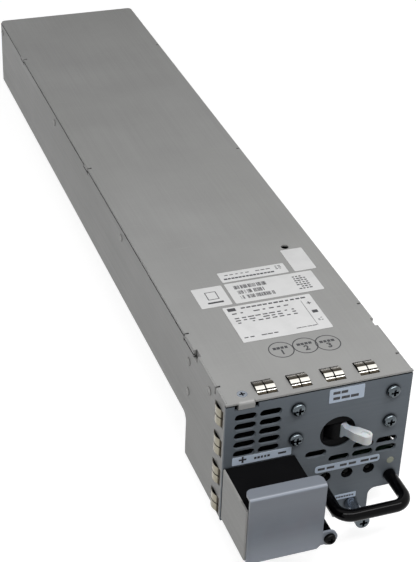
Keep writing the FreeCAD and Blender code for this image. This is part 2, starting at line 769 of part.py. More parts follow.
def handle():
    """Round bar bent to a U, tapped at both ends."""
    left, right = HANDLE_X
    far = -HANDLE_REACH
    near = far + HANDLE_BEND
    turn = HANDLE_BEND * (1 - math.sqrt(0.5))
    spot = lambda x, y: Vector(x, y, HANDLE_Z)
    path = Part.Wire([
        Part.LineSegment(spot(left, 0), spot(left, near)).toShape(),
        Part.Arc(spot(left, near), spot(left + turn, far + turn), spot(left + HANDLE_BEND, far)).toShape(),
        Part.LineSegment(spot(left + HANDLE_BEND, far), spot(right - HANDLE_BEND, far)).toShape(),
        Part.Arc(spot(right - HANDLE_BEND, far), spot(right - turn, far + turn), spot(right, near)).toShape(),
        Part.LineSegment(spot(right, near), spot(right, 0)).toShape(),
    ])
    ring = Part.Wire(Part.makeCircle(HANDLE_ROD_R, spot(left, 0), Y_AXIS))
    bar = path.makePipeShell([ring], True, False)
    tap_r = HANDLE_SCREW_R + SLIP
    taps = [rod((x, -HANDLE_SCREW_LENGTH, HANDLE_Z), Y_AXIS, tap_r, HANDLE_SCREW_LENGTH) for x in HANDLE_X]
    return less(Part.Solid(bar) if bar.ShapeType == "Shell" else bar, taps)


def handle_screws():
    long = PANEL + HANDLE_SCREW_LENGTH - 1
    return Part.makeCompound([
        plain_screw((x, PANEL, HANDLE_Z), -Y_AXIS, PAN_HEAD_R, PAN_HEAD_H, HANDLE_SCREW_R, long)
        for x in HANDLE_X
    ])


def retaining_sleeve():
    return turned([
        (RETAINER_R + FIT, -SLEEVE_LENGTH), (SLEEVE_R, -SLEEVE_LENGTH, 0.4), (SLEEVE_R, 0),
        (SLEEVE_NECK_R, 0),
        (SLEEVE_NECK_R, PANEL), (RETAINER_R + FIT, PANEL),
    ], (RETAINER_X, 0, -RETAINER_DROP), Y_AXIS)


def clip_y():
    front = PANEL + FIT
    return (front, front + CLIP_THICK)


def retaining_screw():
    seat = -SLEEVE_LENGTH - RETAINER_TRAVEL - SEAM
    groove = (clip_y()[0] - SLIP, clip_y()[1] + SLIP)
    body = turned([
        (0, seat - RETAINER_HEAD_H), (RETAINER_HEAD_R, seat - RETAINER_HEAD_H, 1.6),
        (RETAINER_HEAD_R, seat, 0.4),
        (RETAINER_R, seat), (RETAINER_R, groove[0]), (GROOVE_R, groove[0]), (GROOVE_R, groove[1]),
        (RETAINER_R, groove[1]), (RETAINER_R, RETAINER_TIP, 0.8), (0, RETAINER_TIP),
    ], (RETAINER_X, 0, -RETAINER_DROP), Y_AXIS)
    face = (RETAINER_X, seat - RETAINER_HEAD_H, -RETAINER_DROP)
    return body.cut(cross_recess(face, Y_AXIS, RETAINER_HEAD_R, RETAINER_HEAD_H * 0.5))


def retaining_clip():
    front, back = clip_y()
    hole = GROOVE_R + SLIP
    return turned([(hole, front), (CLIP_R, front), (CLIP_R, back), (hole, back)],
                  (RETAINER_X, 0, -RETAINER_DROP), Y_AXIS)


def status_led(x):
    """Round indicator with a domed end just behind the panel's face and a rim at its foot."""
    return turned([
        (0, LED_SUNK), (LED_R, LED_SUNK, LED_R * 0.8), (LED_R, LED_BOARD_Y - 1),
        (LED_R + 0.4, LED_BOARD_Y - 1),
        (LED_R + 0.4, LED_BOARD_Y), (0, LED_BOARD_Y),
    ], (x, 0, LED_Z), Y_AXIS)


def led_standoffs():
    solids = []
    for x in LED_STUD_XS:
        solids.append(turned([
            (0, 0), (LED_STUD_HEAD_R, 0), (LED_STUD_HEAD_R, PANEL), (LED_STUD_BARREL_R, PANEL),
            (LED_STUD_BARREL_R, LED_BOARD_Y), (BOARD_SCREW_R + SLIP, LED_BOARD_Y),
            (BOARD_SCREW_R + SLIP, PANEL), (0, PANEL),
        ], (x, 0, LED_STUD_Z), Y_AXIS))
    return Part.makeCompound(solids)


def led_board():
    x = (LED_STUD_XS[0] - 4, LED_STUD_XS[1] + 4)
    z = (LED_STUD_Z + 4 - LED_BOARD_TALL, LED_STUD_Z + 4)
    board = plate_xz(rectangle(x, z, 1.0), (LED_BOARD_Y, LED_BOARD_Y + BOARD))
    hole_r = BOARD_SCREW_R + FIT
    holes = [rod((sx, LED_BOARD_Y - 1, LED_STUD_Z), Y_AXIS, hole_r, BOARD + 2) for sx in LED_STUD_XS]
    return less(board, holes)


def led_board_screws():
    seat = LED_BOARD_Y + BOARD
    long = seat - PANEL - 0.5
    return Part.makeCompound([
        plain_screw(
            (x, seat, LED_STUD_Z), -Y_AXIS, BOARD_SCREW_HEAD_R, BOARD_SCREW_HEAD_H, BOARD_SCREW_R, long
        )
        for x in LED_STUD_XS
    ])


# Breaker

def lever_sweep(half_width, half_height, reach):
    """Room that the lever needs between its two end positions."""
    angle = math.radians(LEVER_LEAN)
    tips = []
    for side in (-1, 1):
        dx = side * math.sin(angle)
        dy = -math.cos(angle)
        tips.append((LEVER_X + dx * reach + side * half_width * math.cos(angle),
                     LEVER_PIVOT_Y + dy * reach + half_width * math.sin(angle)))
    hub = LEVER_PIVOT_Y + half_width
    left_hub = (LEVER_X - half_width, hub)
    right_hub = (LEVER_X + half_width, hub)
    middle = (LEVER_X, LEVER_PIVOT_Y - reach)
    z = (LEVER_Z - half_height, LEVER_Z + half_height)
    return plate_xy([left_hub, right_hub, tips[1], middle, tips[0]], z)


def breaker_body():
    half = BREAKER_WIDE / 2
    z = (BREAKER_BOTTOM, BREAKER_BOTTOM + BREAKER_TALL)
    body = block((BREAKER_X - half, BREAKER_X + half), (PANEL, BREAKER_BACK), z)
    boss = rod((LEVER_X, BOSS_SUNK, LEVER_Z), Y_AXIS, BREAKER_HOLE_R - FIT, PANEL)
    upper = rod((BAR_END_X, BREAKER_BACK, POLE_ZS[1]), Y_AXIS, SMALL_NUT_FLATS / 2 + 1, UPPER_BOSS)
    half_tall = LEVER_TALL / 2 + 0.5
    cavity = rod((LEVER_X, LEVER_PIVOT_Y, LEVER_Z - half_tall), Z_AXIS, LEVER_BARREL_R + 0.5, 2 * half_tall)
    sweep = lever_sweep(NECK_WIDE / 2 + 0.9, half_tall, LEVER_PIVOT_Y * 2)
    groove = 0.8
    seam_z = BREAKER_Z
    tools = [cavity, sweep]
    groove_y = (PANEL - 1, BREAKER_BACK + 1)
    groove_z = (seam_z - groove / 2, seam_z + groove / 2)
    tools.append(block((BREAKER_X - half - 1, BREAKER_X - half + groove), groove_y, groove_z))
    tools.append(block((BREAKER_X + half - groove, BREAKER_X + half + 1), groove_y, groove_z))
    bite = BREAKER_SCREW_LENGTH + 1
    tools += [rod((x, PANEL, sz), Y_AXIS, BREAKER_SCREW_R + SLIP, bite) for x, sz in breaker_screw_places()]
    pin_half = half_tall + PIN_BITE
    tools.append(rod((LEVER_X, LEVER_PIVOT_Y, LEVER_Z - pin_half), Z_AXIS, PIN_R + SLIP, 2 * pin_half))
    for pole_z, reach in zip(POLE_ZS, (0, UPPER_BOSS)):
        deep = BREAKER_STUD_BITE + reach
        start = (BAR_END_X, BREAKER_BACK - BREAKER_STUD_BITE, pole_z)
        tools.append(rod(start, Y_AXIS, BREAKER_STUD_R + SLIP, deep + 1))
    return less(joined([body, boss, upper]), tools)


def breaker_pivot_pin():
    half = LEVER_TALL / 2 + PIN_BITE
    return rod((LEVER_X, LEVER_PIVOT_Y, LEVER_Z - half), Z_AXIS, PIN_R, 2 * half)


def leaned(shape):
    """Turns a piece drawn straight ahead of the pivot to where the lever rests."""
    shape.rotate(Vector(0, 0, 0), Z_AXIS, LEVER_LEAN)
    shape.translate(Vector(LEVER_X, LEVER_PIVOT_Y, LEVER_Z))
    return shape


def breaker_hub():
    """Barrel on the pin with a flat on which the lever stands."""
    half = LEVER_TALL / 2
    barrel = rod((0, 0, -half), Z_AXIS, LEVER_BARREL_R, LEVER_TALL)
    across = (-LEVER_BARREL_R, LEVER_BARREL_R)
    beyond = block(across, (-2 * LEVER_BARREL_R, -LEVER_ROOT), (-half - 1, half + 1))
    bore = rod((0, 0, -half - 1), Z_AXIS, PIN_R + SLIP, LEVER_TALL + 2)
    return leaned(less(barrel, [beyond, bore]))


def breaker_toggle():
    """Moulded lever: a flared root, a neck and a round-ended paddle with a recess on both faces."""
    half = FLARE_TALL / 2
    neck = LEVER_ROOT + NECK_LENGTH
    shoulder = neck + PADDLE_TAPER
    blade = PADDLE_WIDE / 2
    narrow = NECK_WIDE / 2
    plan = plate_xy([
        (-narrow, -LEVER_ROOT), (-narrow, -neck, NECK_ROUND), (-blade, -shoulder, NECK_ROUND),
        (-blade, -LEVER_REACH, blade * 0.98), (blade, -LEVER_REACH, blade * 0.98),
        (blade, -shoulder, NECK_ROUND), (narrow, -neck, NECK_ROUND), (narrow, -LEVER_ROOT),
    ], (-half, half))
    waist = PADDLE_TALL / 2
    slim = NECK_TALL / 2
    flare = LEVER_ROOT + FLARE_LENGTH
    taper = flare + FLARE_TAPER
    end = LEVER_REACH + 1
    side = plate_yz([
        (-LEVER_ROOT, -half), (-flare, -half), (-taper, -slim, FLARE_ROUND),
        (-shoulder, -waist, PADDLE_ROUND), (-end, -waist), (-end, waist), (-shoulder, waist, PADDLE_ROUND),
        (-taper, slim, FLARE_ROUND), (-flare, half), (-LEVER_ROOT, half),
    ], (-half, half))
    u = blade - PADDLE_RIM
    far = -LEVER_REACH + PADDLE_RIM
    near = far + RECESS_LENGTH
    inner = u * RECESS_TAPER
    recess = [
        (-u, far, u * 0.85), (u, far, u * 0.85), (inner, near, inner * 0.95), (-inner, near, inner * 0.95),
    ]
    tools = [
        plate_xy(recess, (waist - PADDLE_DIP, waist + 1)),
        plate_xy(recess, (-waist - 1, -waist + PADDLE_DIP)),
    ]
    return leaned(less(plan.common(side), tools))


def breaker_screws():
    return Part.makeCompound([
        pan_screw((x, 0, z), Y_AXIS, PAN_HEAD_R, PAN_HEAD_H, BREAKER_SCREW_R, PANEL + BREAKER_SCREW_LENGTH)
        for x, z in breaker_screw_places()
    ])


def breaker_cradle():
    """Shelf under the breaker, riveted to both side walls behind it."""
    out = WALL_IN - SLIP
    z = (BREAKER_BOTTOM - SHEET, BREAKER_BOTTOM)
    shelf_back = BREAKER_BACK - 2 * BAR
    shelf = block((-out, out), (CRADLE_START, shelf_back), z)
    parts = [shelf]
    for side in (-1, 1):
        x = sorted((side * out, side * (out - SHEET)))
        parts.append(block(x, (CRADLE_START, STEP_RIVET_Y + RIVET_HEAD_R + 2), (z[0], z[0] + CRADLE_FLANGE)))
    return less(joined(parts), rivet_holes())


def breaker_terminals():
    solids = []
    for z, reach in zip(POLE_ZS, (0, UPPER_BOSS)):
        start = BREAKER_BACK - BREAKER_STUD_BITE
        long = BREAKER_STUD_BITE + reach + BAR + BREAKER_STUD_LENGTH
        solids.append(rod((BAR_END_X, start, z), Y_AXIS, BREAKER_STUD_R, long))
    return Part.makeCompound(solids)


def breaker_nuts():
    solids = []
    for z, reach in zip(POLE_ZS, (0, UPPER_BOSS)):
        seat = BREAKER_BACK + reach + BAR
        y = (seat, seat + SMALL_NUT_THICK)
        solids.append(hex_nut(BAR_END_X, z, y, SMALL_NUT_FLATS, BREAKER_STUD_R + SLIP))
    return Part.makeCompound(solids)


# Terminal compartment

def terminal_shroud():
    """Folded sheet: back plate on the panel, side wall and a lip behind the cover."""
    front = -SHROUD_DEEP
    bend = SHEET * 1.2
    sheet = plate_xy([
        (LEFT, 0, bend), (LEFT, front, bend), (LEFT + SHROUD_LIP, front), (LEFT + SHROUD_LIP, front + SHEET),
        (LEFT + SHEET, front + SHEET), (LEFT + SHEET, -SHEET), (BLOCK_RIGHT, -SHEET), (BLOCK_RIGHT, 0),
    ], (SHROUD_BOTTOM, SHROUD_TOP))
    holes = [rod((x, -SHEET - 1, STUD_Z), Y_AXIS, BOSS_R + FIT, SHEET + 2) for x in STUD_XS]
    room = block((LEFT + SHEET, BLOCK_RIGHT + 1), (-SHEET, 1), (SHROUD_TOP - BACK_DROP, SHROUD_TOP + 1))
    return less(sheet, holes + [room])


def terminal_block():
    """Moulded block with a lip over the back plate and two bays that are open to the front and below."""
    lip = SHROUD_TOP - BACK_DROP + FIT
    body = plate_yz([
        (BLOCK_FRONT, BLOCK_BOTTOM), (-SHEET, BLOCK_BOTTOM), (-SHEET, lip), (0, lip),
        (0, BLOCK_TOP), (BLOCK_FRONT, BLOCK_TOP),
    ], (BLOCK_LEFT, BLOCK_RIGHT))
    top_edges = [e for e in body.Edges if abs(e.CenterOfMass.z - BLOCK_TOP) < 1e-6]
    body = body.makeFillet(0.8, [e for e in top_edges if e.CenterOfMass.y < -0.1])
    bosses = [rod((x, -SHEET, STUD_Z), Y_AXIS, BOSS_R, SHEET + BOSS_REACH) for x in STUD_XS]
    bays = []
    for x in STUD_XS:
        half = BAY_WIDE / 2
        bay_z = (BLOCK_BOTTOM - 1, BLOCK_TOP - BAY_ROOF)
        bays.append(block((x - half, x + half), (BLOCK_FRONT - 1, BAY_FLOOR), bay_z))
    long = SHROUD_DEEP + BOSS_REACH + 1
    holes = [rod((x, BLOCK_FRONT, STUD_Z), Y_AXIS, STUD_R + SLIP, long) for x in STUD_XS]
    return less(joined([body] + bosses), bays + holes)


def terminal_studs():
    front = BAY_FLOOR - STUD_FRONT
    back = BOSS_REACH + BAR + NUT_THICK + 2
    corners = [(0, front), (STUD_R - 0.6, front), (STUD_R, front + 0.6), (STUD_R, back), (0, back)]
    return Part.makeCompound([turned(corners, (x, 0, STUD_Z), Y_AXIS) for x in STUD_XS])


def terminal_washers():
    y = (BAY_FLOOR - WASHER_THICK, BAY_FLOOR)
    hole = STUD_R + FIT
    return Part.makeCompound([
        turned([(hole, y[0]), (WASHER_R, y[0]), (WASHER_R, y[1]), (hole, y[1])], (x, 0, STUD_Z), Y_AXIS)
        for x in STUD_XS
    ])


def terminal_nuts():
    seat = BAY_FLOOR - WASHER_THICK
    y = (seat - NUT_THICK, seat)
    return Part.makeCompound([hex_nut(x, STUD_Z, y, NUT_FLATS, STUD_R + SLIP) for x in STUD_XS])


def terminal_rear_nuts():
    seat = BOSS_REACH + BAR
    y = (seat, seat + NUT_THICK)
    return Part.makeCompound([hex_nut(x, STUD_Z, y, NUT_FLATS, STUD_R + SLIP) for x in STUD_XS])


def input_busbars():
    """Two folded copper bars, one above the other, from the terminal studs to the breaker's back."""
    front = BOSS_REACH
    ends = (BREAKER_BACK + UPPER_BOSS, BREAKER_BACK)
    tops = (BREAKER_BOTTOM - SHEET - 2 * BAR - 2 * BAR_GAP, BREAKER_BOTTOM - SHEET - BAR - BAR_GAP)
    half = BAR_WIDE / 2
    solids = []
    for x, z, end, pole_z in zip(STUD_XS, tops, ends, reversed(POLE_ZS)):
        level = (z, z + BAR)
        tab = block((x - half, x + half), (front, front + BAR), (STUD_Z - half, level[1]))
        run = block((x - half, x + half), (front, end + BAR), level)
        cross = block((x - half, BAR_END_X + half), (end + BAR - BAR_WIDE, end + BAR), level)
        rise = block((BAR_END_X - half, BAR_END_X + half), (end, end + BAR), (level[0], pole_z + half))
        tools = [
            rod((x, front - 1, STUD_Z), Y_AXIS, STUD_R + FIT, BAR + 2),
            rod((BAR_END_X, end - 1, pole_z), Y_AXIS, BREAKER_STUD_R + FIT, BAR + 2),
        ]
        solids.append(less(joined([tab, run, cross, rise]), tools))
    return Part.makeCompound(solids)


def terminal_cover():
    """Plastic cover: plate with a chamfered corner, a screw ear and a flange turned back at the top."""
    y = (COVER_FACE, COVER_FACE + COVER)
    left = LEFT + COVER_LEFT
    right = LEFT + COVER_RIGHT
    bent_top = COVER_TOP - COVER_BEND - 1
    sheet = plate_xz([
        (left, COVER_BOTTOM), (right - COVER_CHAMFER, COVER_BOTTOM), (right, COVER_BOTTOM + COVER_CHAMFER),
        (right, bent_top), (left, bent_top),
    ], y)
    ear_x, ear_z = EAR_PLACE
    ear = rod((ear_x, y[0], ear_z), Y_AXIS, EAR_R, COVER)
    bridge = block((right - 2, ear_x), y, (ear_z - EAR_R * 0.8, ear_z + EAR_R))
    fold = plate_yz([
        (y[0], bent_top), (y[1], bent_top), (y[1], COVER_TOP - COVER, COVER_BEND - COVER),
        (y[0] + COVER_FLANGE, COVER_TOP - COVER),
        (y[0] + COVER_FLANGE, COVER_TOP), (y[0], COVER_TOP, COVER_BEND),
    ], (left, right))
    far = y[0] + COVER_FLANGE
    keep = plate_xy([
        (left, y[0] - 1), (right, y[0] - 1), (right, far, COVER_ROUND), (left, far, COVER_ROUND),
    ], (bent_top - 1, COVER_TOP + 1))
    body = joined([sheet, ear, bridge, fold.common(keep)])
    return body.cut(rod((ear_x, y[0] - 1, ear_z), Y_AXIS, COVER_SCREW_R + FIT, COVER + 2))


def cover_standoff():
    x, z = EAR_PLACE
    post = plate_xz(hexagon(x, z, STANDOFF_FLATS), (-SHROUD_DEEP, 0))
    stud = rod((x, 0, z), Y_AXIS, COVER_SCREW_R, PANEL + SMALL_NUT_THICK)
    tap = rod((x, -SHROUD_DEEP, z), Y_AXIS, COVER_SCREW_R + SLIP, COVER_SCREW_LENGTH)
    return joined([post, stud]).cut(tap)


def standoff_nut():
    x, z = EAR_PLACE
    return hex_nut(x, z, (PANEL, PANEL + SMALL_NUT_THICK - 1), STANDOFF_FLATS, COVER_SCREW_R + SLIP)


def cover_screw():
    x, z = EAR_PLACE
    long = COVER + COVER_SCREW_LENGTH - 1
    return pan_screw((x, COVER_FACE, z), Y_AXIS, COVER_SCREW_HEAD_R, COVER_SCREW_HEAD_H, COVER_SCREW_R, long)


# Grounding finger strips

def finger_strip(place, centre, offsets):
    """Spring strip behind one wall with a pair of bowed fingers in each slot.

    place(a, y, n) gives the point at a along the wall, y back from the panel and n out from the wall's face.
    """
    root = -SHEET
    back = FINGER_SLOT_BACK - SEAM
    front = FINGER_SLOT_FRONT + FINGER_ROOT_GAP
    tip = back - FINGER_TIP_GAP
    dip = -FINGER_TIP_DIP
    half = FINGER_SLOT_WIDE / 2 - SEAM
    reach = offsets[-1] + FINGER_END
    along = place(1, 0, 0) - place(0, 0, 0)

    def slab(a, y, n):
        around = ((0, 0), (1, 0), (1, 1), (0, 1))
        corners = [place(a[0], y[j], n[k]) for j, k in around]
        return Part.Face(Part.makePolygon(corners + corners[:1])).extrude(along * (a[1] - a[0]))

    inner = root - FINGER_STOCK
    strip_y = (PANEL + SEAM, FINGER_SLOT_BACK + STRIP_MARGIN)
    strip = slab((centre - reach, centre + reach), strip_y, (inner, root))
    windows = []
    fingers = []
    for offset in offsets:
        middle = centre + offset
        windows.append(slab((middle - half, middle + half), (front, back), (inner - 1, root + 1)))
        for side in (-1, 1):
            a = sorted((middle + side * FINGER_GAP / 2, middle + side * half))
            crown = front + (tip - front) * FINGER_CROWN
            spot = lambda y, n: place(a[0], y, n)
            outer = Part.Arc(spot(front, root), spot(crown, FINGER_RISE), spot(tip, dip))
            top = FINGER_RISE - FINGER_STOCK
            under = Part.Arc(spot(tip, dip - FINGER_STOCK), spot(crown, top), spot(front, inner))
            end = Part.LineSegment(spot(tip, dip), spot(tip, dip - FINGER_STOCK))
            foot = Part.LineSegment(spot(front, inner), spot(front, root))
            wire = Part.Wire([line.toShape() for line in (outer, end, under, foot)])
            fingers.append(Part.Face(wire).extrude(along * (a[1] - a[0])))
    return joined([less(strip, windows)] + fingers)


def emi_strips():
    flat = (FINGER_TOP_X, FINGER_TOP_OFFSETS)
    upright = (FINGER_SIDE_Z, FINGER_SIDE_OFFSETS)
    return {
        "grounding_strip_top": finger_strip(lambda a, y, n: Vector(a, y, HEIGHT + n), *flat),
        "grounding_strip_bottom": finger_strip(lambda a, y, n: Vector(a, y, -n), *flat),
        "grounding_strip_left": finger_strip(lambda a, y, n: Vector(LEFT - n, y, a), *upright),
        "grounding_strip_right": finger_strip(lambda a, y, n: Vector(RIGHT + n, y, a), *upright),
    }


# Board and components

def standoff_places():
    return [(side * (BOARD_HALF - BOARD_CORNER), y) for y in STANDOFF_YS for side in (-1, 1)]


def main_board():
    """Board with a tongue that carries the plug at the back."""
    tongue_x = PLUG_X[1] + TONGUE_EDGE
    tongue_y = BOARD_Y[1] + BOARD_TONGUE
    board = plate_xy([
        (-BOARD_HALF, BOARD_Y[0], 2), (BOARD_HALF, BOARD_Y[0], 2),
        (BOARD_HALF, BOARD_Y[1], 2), (tongue_x, BOARD_Y[1], 2),
        (tongue_x, tongue_y, 2), (-BOARD_HALF, tongue_y, 2),
    ], (BOARD_Z, BOARD_TOP))
    hole_r = BOARD_SCREW_R + FIT
    return less(board, [rod((x, y, BOARD_Z - 1), Z_AXIS, hole_r, BOARD + 2) for x, y in standoff_places()])


def board_standoffs():
    solids = []
    for x, y in standoff_places():
        post = rod((x, y, FLOOR_Z), Z_AXIS, STANDOFF_R, STANDOFF_TALL)
        solids.append(post.cut(rod((x, y, FLOOR_Z + 1), Z_AXIS, BOARD_SCREW_R + SLIP, STANDOFF_TALL)))
    return Part.makeCompound(solids)


def board_screws():
    long = BOARD + STANDOFF_TALL - 2
    return Part.makeCompound([
        plain_screw((x, y, BOARD_TOP), -Z_AXIS, BOARD_SCREW_HEAD_R, BOARD_SCREW_HEAD_H, BOARD_SCREW_R, long)
        for x, y in standoff_places()
    ])


def insulator_sheet():
    half = WALL_IN - 2
    film = block((-half, half), (STEP_DEPTH + FILM_START, BOARD_Y[1]), (FLOOR_Z, FLOOR_Z + FILM))
    hole_r = STANDOFF_R + SEAM
    return less(film, [rod((x, y, FLOOR_Z - 1), Z_AXIS, hole_r, FILM + 2) for x, y in standoff_places()])


def can(x, y, radius, tall):
    """Electrolytic capacitor with a rounded shoulder and a ring groove near its foot."""
    groove = radius * 0.08
    z = tall * 0.12
    return turned([
        (0, 0), (radius, 0), (radius, z), (radius - groove, z + groove), (radius, z + 2 * groove),
        (radius, tall - groove), (radius - groove, tall), (0, tall),
    ], (x, y, BOARD_TOP), Z_AXIS)


def input_capacitors():
    y = BOARD_Y[0] + CAP_START
    first = -(CAP_COUNT - 1) / 2 * CAP_PITCH
    return Part.makeCompound([can(first + k * CAP_PITCH, y, CAP_R, CAP_TALL) for k in range(CAP_COUNT)])


def output_capacitors():
    y = LENGTH - OUT_CAP_BACK
    places = [(x * OUT_CAP_PITCH, y - row * OUT_CAP_PITCH) for x in (-1, 0, 1, 2) for row in (0, 1)]
    return Part.makeCompound([can(x, py, OUT_CAP_R, OUT_CAP_TALL) for x, py in places])


def wound_ring(x, y, radius, hole, tall):
    edge = (radius - hole) * 0.3
    return turned([
        (hole, edge), (hole + edge, 0), (radius - edge, 0), (radius, edge), (radius, tall - edge),
        (radius - edge, tall), (hole + edge, tall), (hole, tall - edge),
    ], (x, y, BOARD_TOP), Z_AXIS)


def input_choke():
    return wound_ring(-BOARD_HALF / 2, BOARD_Y[0] + CHOKE_START, CHOKE_R, CHOKE_HOLE_R, CHOKE_TALL)


def output_inductor():
    return wound_ring(BOARD_HALF / 2, LENGTH - INDUCTOR_START, INDUCTOR_R, CHOKE_HOLE_R, CHOKE_TALL)


def heatsink(side):
    """Finned extrusion standing beside the transformer, fins outwards."""
    base_x = sorted((side * SINK_IN, side * (SINK_IN + SINK_BASE)))
    base = block(base_x, SINK_Y, (BOARD_TOP, BOARD_TOP + SINK_TALL))
    pitch = (SINK_TALL - SINK_FIN) / (SINK_FINS - 1)
    fins = []
    for k in range(SINK_FINS):
        z = BOARD_TOP + k * pitch
        fins.append(block(sorted((side * SINK_IN, side * BOARD_HALF)), SINK_Y, (z, z + SINK_FIN)))
    return joined([base] + fins)


def transformer_core():
    half = CORE_WIDE / 2
    y = (BOARD_Y[0] + CORE_START, BOARD_Y[0] + CORE_START + CORE_LENGTH)
    core = block((-half, half), y, (BOARD_TOP, BOARD_TOP + CORE_TALL))
    window = (half - CORE_LIMB) - CORE_LIMB
    tools = []
    for side in (-1, 1):
        x = sorted((side * CORE_LIMB, side * (CORE_LIMB + window)))
        z = (BOARD_TOP - 1, BOARD_TOP + CORE_TALL + 1)
        tools.append(block(x, (y[0] + CORE_LIMB, y[1] - CORE_LIMB), z))
    return less(core, tools)


def transformer_winding():
    """Coil round the middle limb of the core, standing on the board and proud of the core's top."""
    half = CORE_WIDE / 2 - CORE_LIMB - WINDING_GAP
    inner = CORE_LIMB + WINDING_GAP
    start = BOARD_Y[0] + CORE_START
    inset = CORE_LIMB + WINDING_GAP
    y = (start + inset, start + CORE_LENGTH - inset)
    sides = []
    for side in (-1, 1):
        x = sorted((side * inner, side * half))
        sides.append(plate_xy(rectangle(x, y, 0.8), (BOARD_TOP, BOARD_TOP + CORE_TALL + 3 + WINDING_GAP)))
    over = BOARD_TOP + CORE_TALL + WINDING_GAP
    bridge = plate_xy(rectangle((-half, half), y, 0.8), (over, over + 3))
    return joined(sides + [bridge])


# Back end

def fan_screw_places():
    half = FAN_HOLES / 2
    return [(FAN_X + a * half, FAN_Z + b * half) for a in (-1, 1) for b in (-1, 1)]


def fan_frame():
    half = FAN_SIZE / 2
    square = rectangle((FAN_X - half, FAN_X + half), (FAN_Z - half, FAN_Z + half), FAN_CORNER)
    body = plate_xz(square, FAN_Y)
    bore = rod((FAN_X, FAN_Y[0] - 1, FAN_Z), Y_AXIS, FAN_BORE_R, FAN_DEEP + 2)
    mount = rod((FAN_X, FAN_Y[0], FAN_Z), Y_AXIS, FAN_HUB_R, FAN_MOUNT)
    arms = []
    arm_y = (FAN_Y[0], FAN_Y[0] + FAN_MOUNT)
    for k in range(FAN_ARMS):
        arm = block((0, FAN_BORE_R + 1), arm_y, (-FAN_ARM_WIDE / 2, FAN_ARM_WIDE / 2))
        arm.rotate(Vector(0, 0, 0), Y_AXIS, 360 / FAN_ARMS * k + 90)
        arms.append(arm.translated(Vector(FAN_X, 0, FAN_Z)))
    ring = body.cut(bore)
    hole_r = FAN_SCREW_R + SLIP
    tools = [rod((x, FAN_Y[0] - 1, z), Y_AXIS, hole_r, FAN_DEEP + 2) for x, z in fan_screw_places()]
    tools.append(rod((FAN_X, FAN_Y[0] - 1, FAN_Z), Y_AXIS, FAN_SHAFT_R + SLIP, FAN_MOUNT + 2))
    return less(joined([ring, mount] + arms), tools)


def fan_rotor():
    """Hub with pitched blades on a shaft that runs in the frame's mount."""
    start = FAN_Y[0] + FAN_MOUNT + SEAM
    end = FAN_Y[1] - 1.0
    tip = FAN_BORE_R - FAN_TIP_GAP
    hub = turned([
        (0, start), (FAN_HUB_R, start), (FAN_HUB_R, end - 1), (FAN_HUB_R - 1, end), (0, end),
    ], (FAN_X, 0, FAN_Z), Y_AXIS)
    shaft = rod((FAN_X, FAN_Y[0], FAN_Z), Y_AXIS, FAN_SHAFT_R, FAN_MOUNT + 2)
    limits = rod((0, start + 0.5, 0), Y_AXIS, tip, end - start - 1.0)
    blades = []
    for k in range(FAN_BLADES):
        blade = block((FAN_HUB_R - 1.5, tip + 2), (-FAN_DEEP, FAN_DEEP), (-FAN_BLADE / 2, FAN_BLADE / 2))
        blade.rotate(Vector(0, 0, 0), X_AXIS, FAN_PITCH_DEG)
        blade.translate(Vector(0, (start + end) / 2, 0))
        blade = blade.common(limits)
        blade.rotate(Vector(0, 0, 0), Y_AXIS, 360 * k / FAN_BLADES)
        blades.append(blade.translated(Vector(FAN_X, 0, FAN_Z)))
    return joined([hub, shaft] + blades)


def fan_screws():
    return Part.makeCompound([
        plain_screw(
            (x, LENGTH, z), -Y_AXIS, BOARD_SCREW_HEAD_R, BOARD_SCREW_HEAD_H, FAN_SCREW_R, FAN_SCREW_LENGTH
        )
        for x, z in fan_screw_places()
    ])


def blade_xs():
    middle = (PLUG_X[0] + PLUG_X[1]) / 2
    return [middle + (k - (BLADE_SLOTS - 1) / 2) * BLADE_PITCH for k in range(BLADE_SLOTS)]


def rear_connector():
    """Blind-mate plug: moulded housing with a chamfered nose and a deep slot for each blade."""
    y = (LENGTH - PLUG_INSIDE, BOX_BACK)
    body = block(PLUG_X, y, PLUG_Z)
    nose = [e for e in body.Edges if abs(e.CenterOfMass.y - BOX_BACK) < 1e-6]
    body = body.makeChamfer(1.5, nose)
    middle = (PLUG_Z[0] + PLUG_Z[1]) / 2
    half = BLADE_TALL / 2
    tools = []
    for x in blade_xs():
        wide = BLADE_THICK / 2 + BLADE_SLOT_SPARE
        slot_z = (middle - half - 1, middle + half + 1)
        tools.append(block((x - wide, x + wide), (LENGTH - PLUG_REACH, BOX_BACK + 1), slot_z))
        thin = BLADE_THICK / 2 + SLIP
        blade_z = (middle - half - SLIP, middle + half + SLIP)
        tools.append(block((x - thin, x + thin), (y[0] - 1, LENGTH), blade_z))
    return less(body, tools)


def connector_blades():
    middle = (PLUG_Z[0] + PLUG_Z[1]) / 2
    half = BLADE_TALL / 2
    y = (LENGTH - PLUG_INSIDE, BOX_BACK - 1.5)
    return Part.makeCompound([
        block((x - BLADE_THICK / 2, x + BLADE_THICK / 2), y, (middle - half, middle + half))
        for x in blade_xs()
    ])


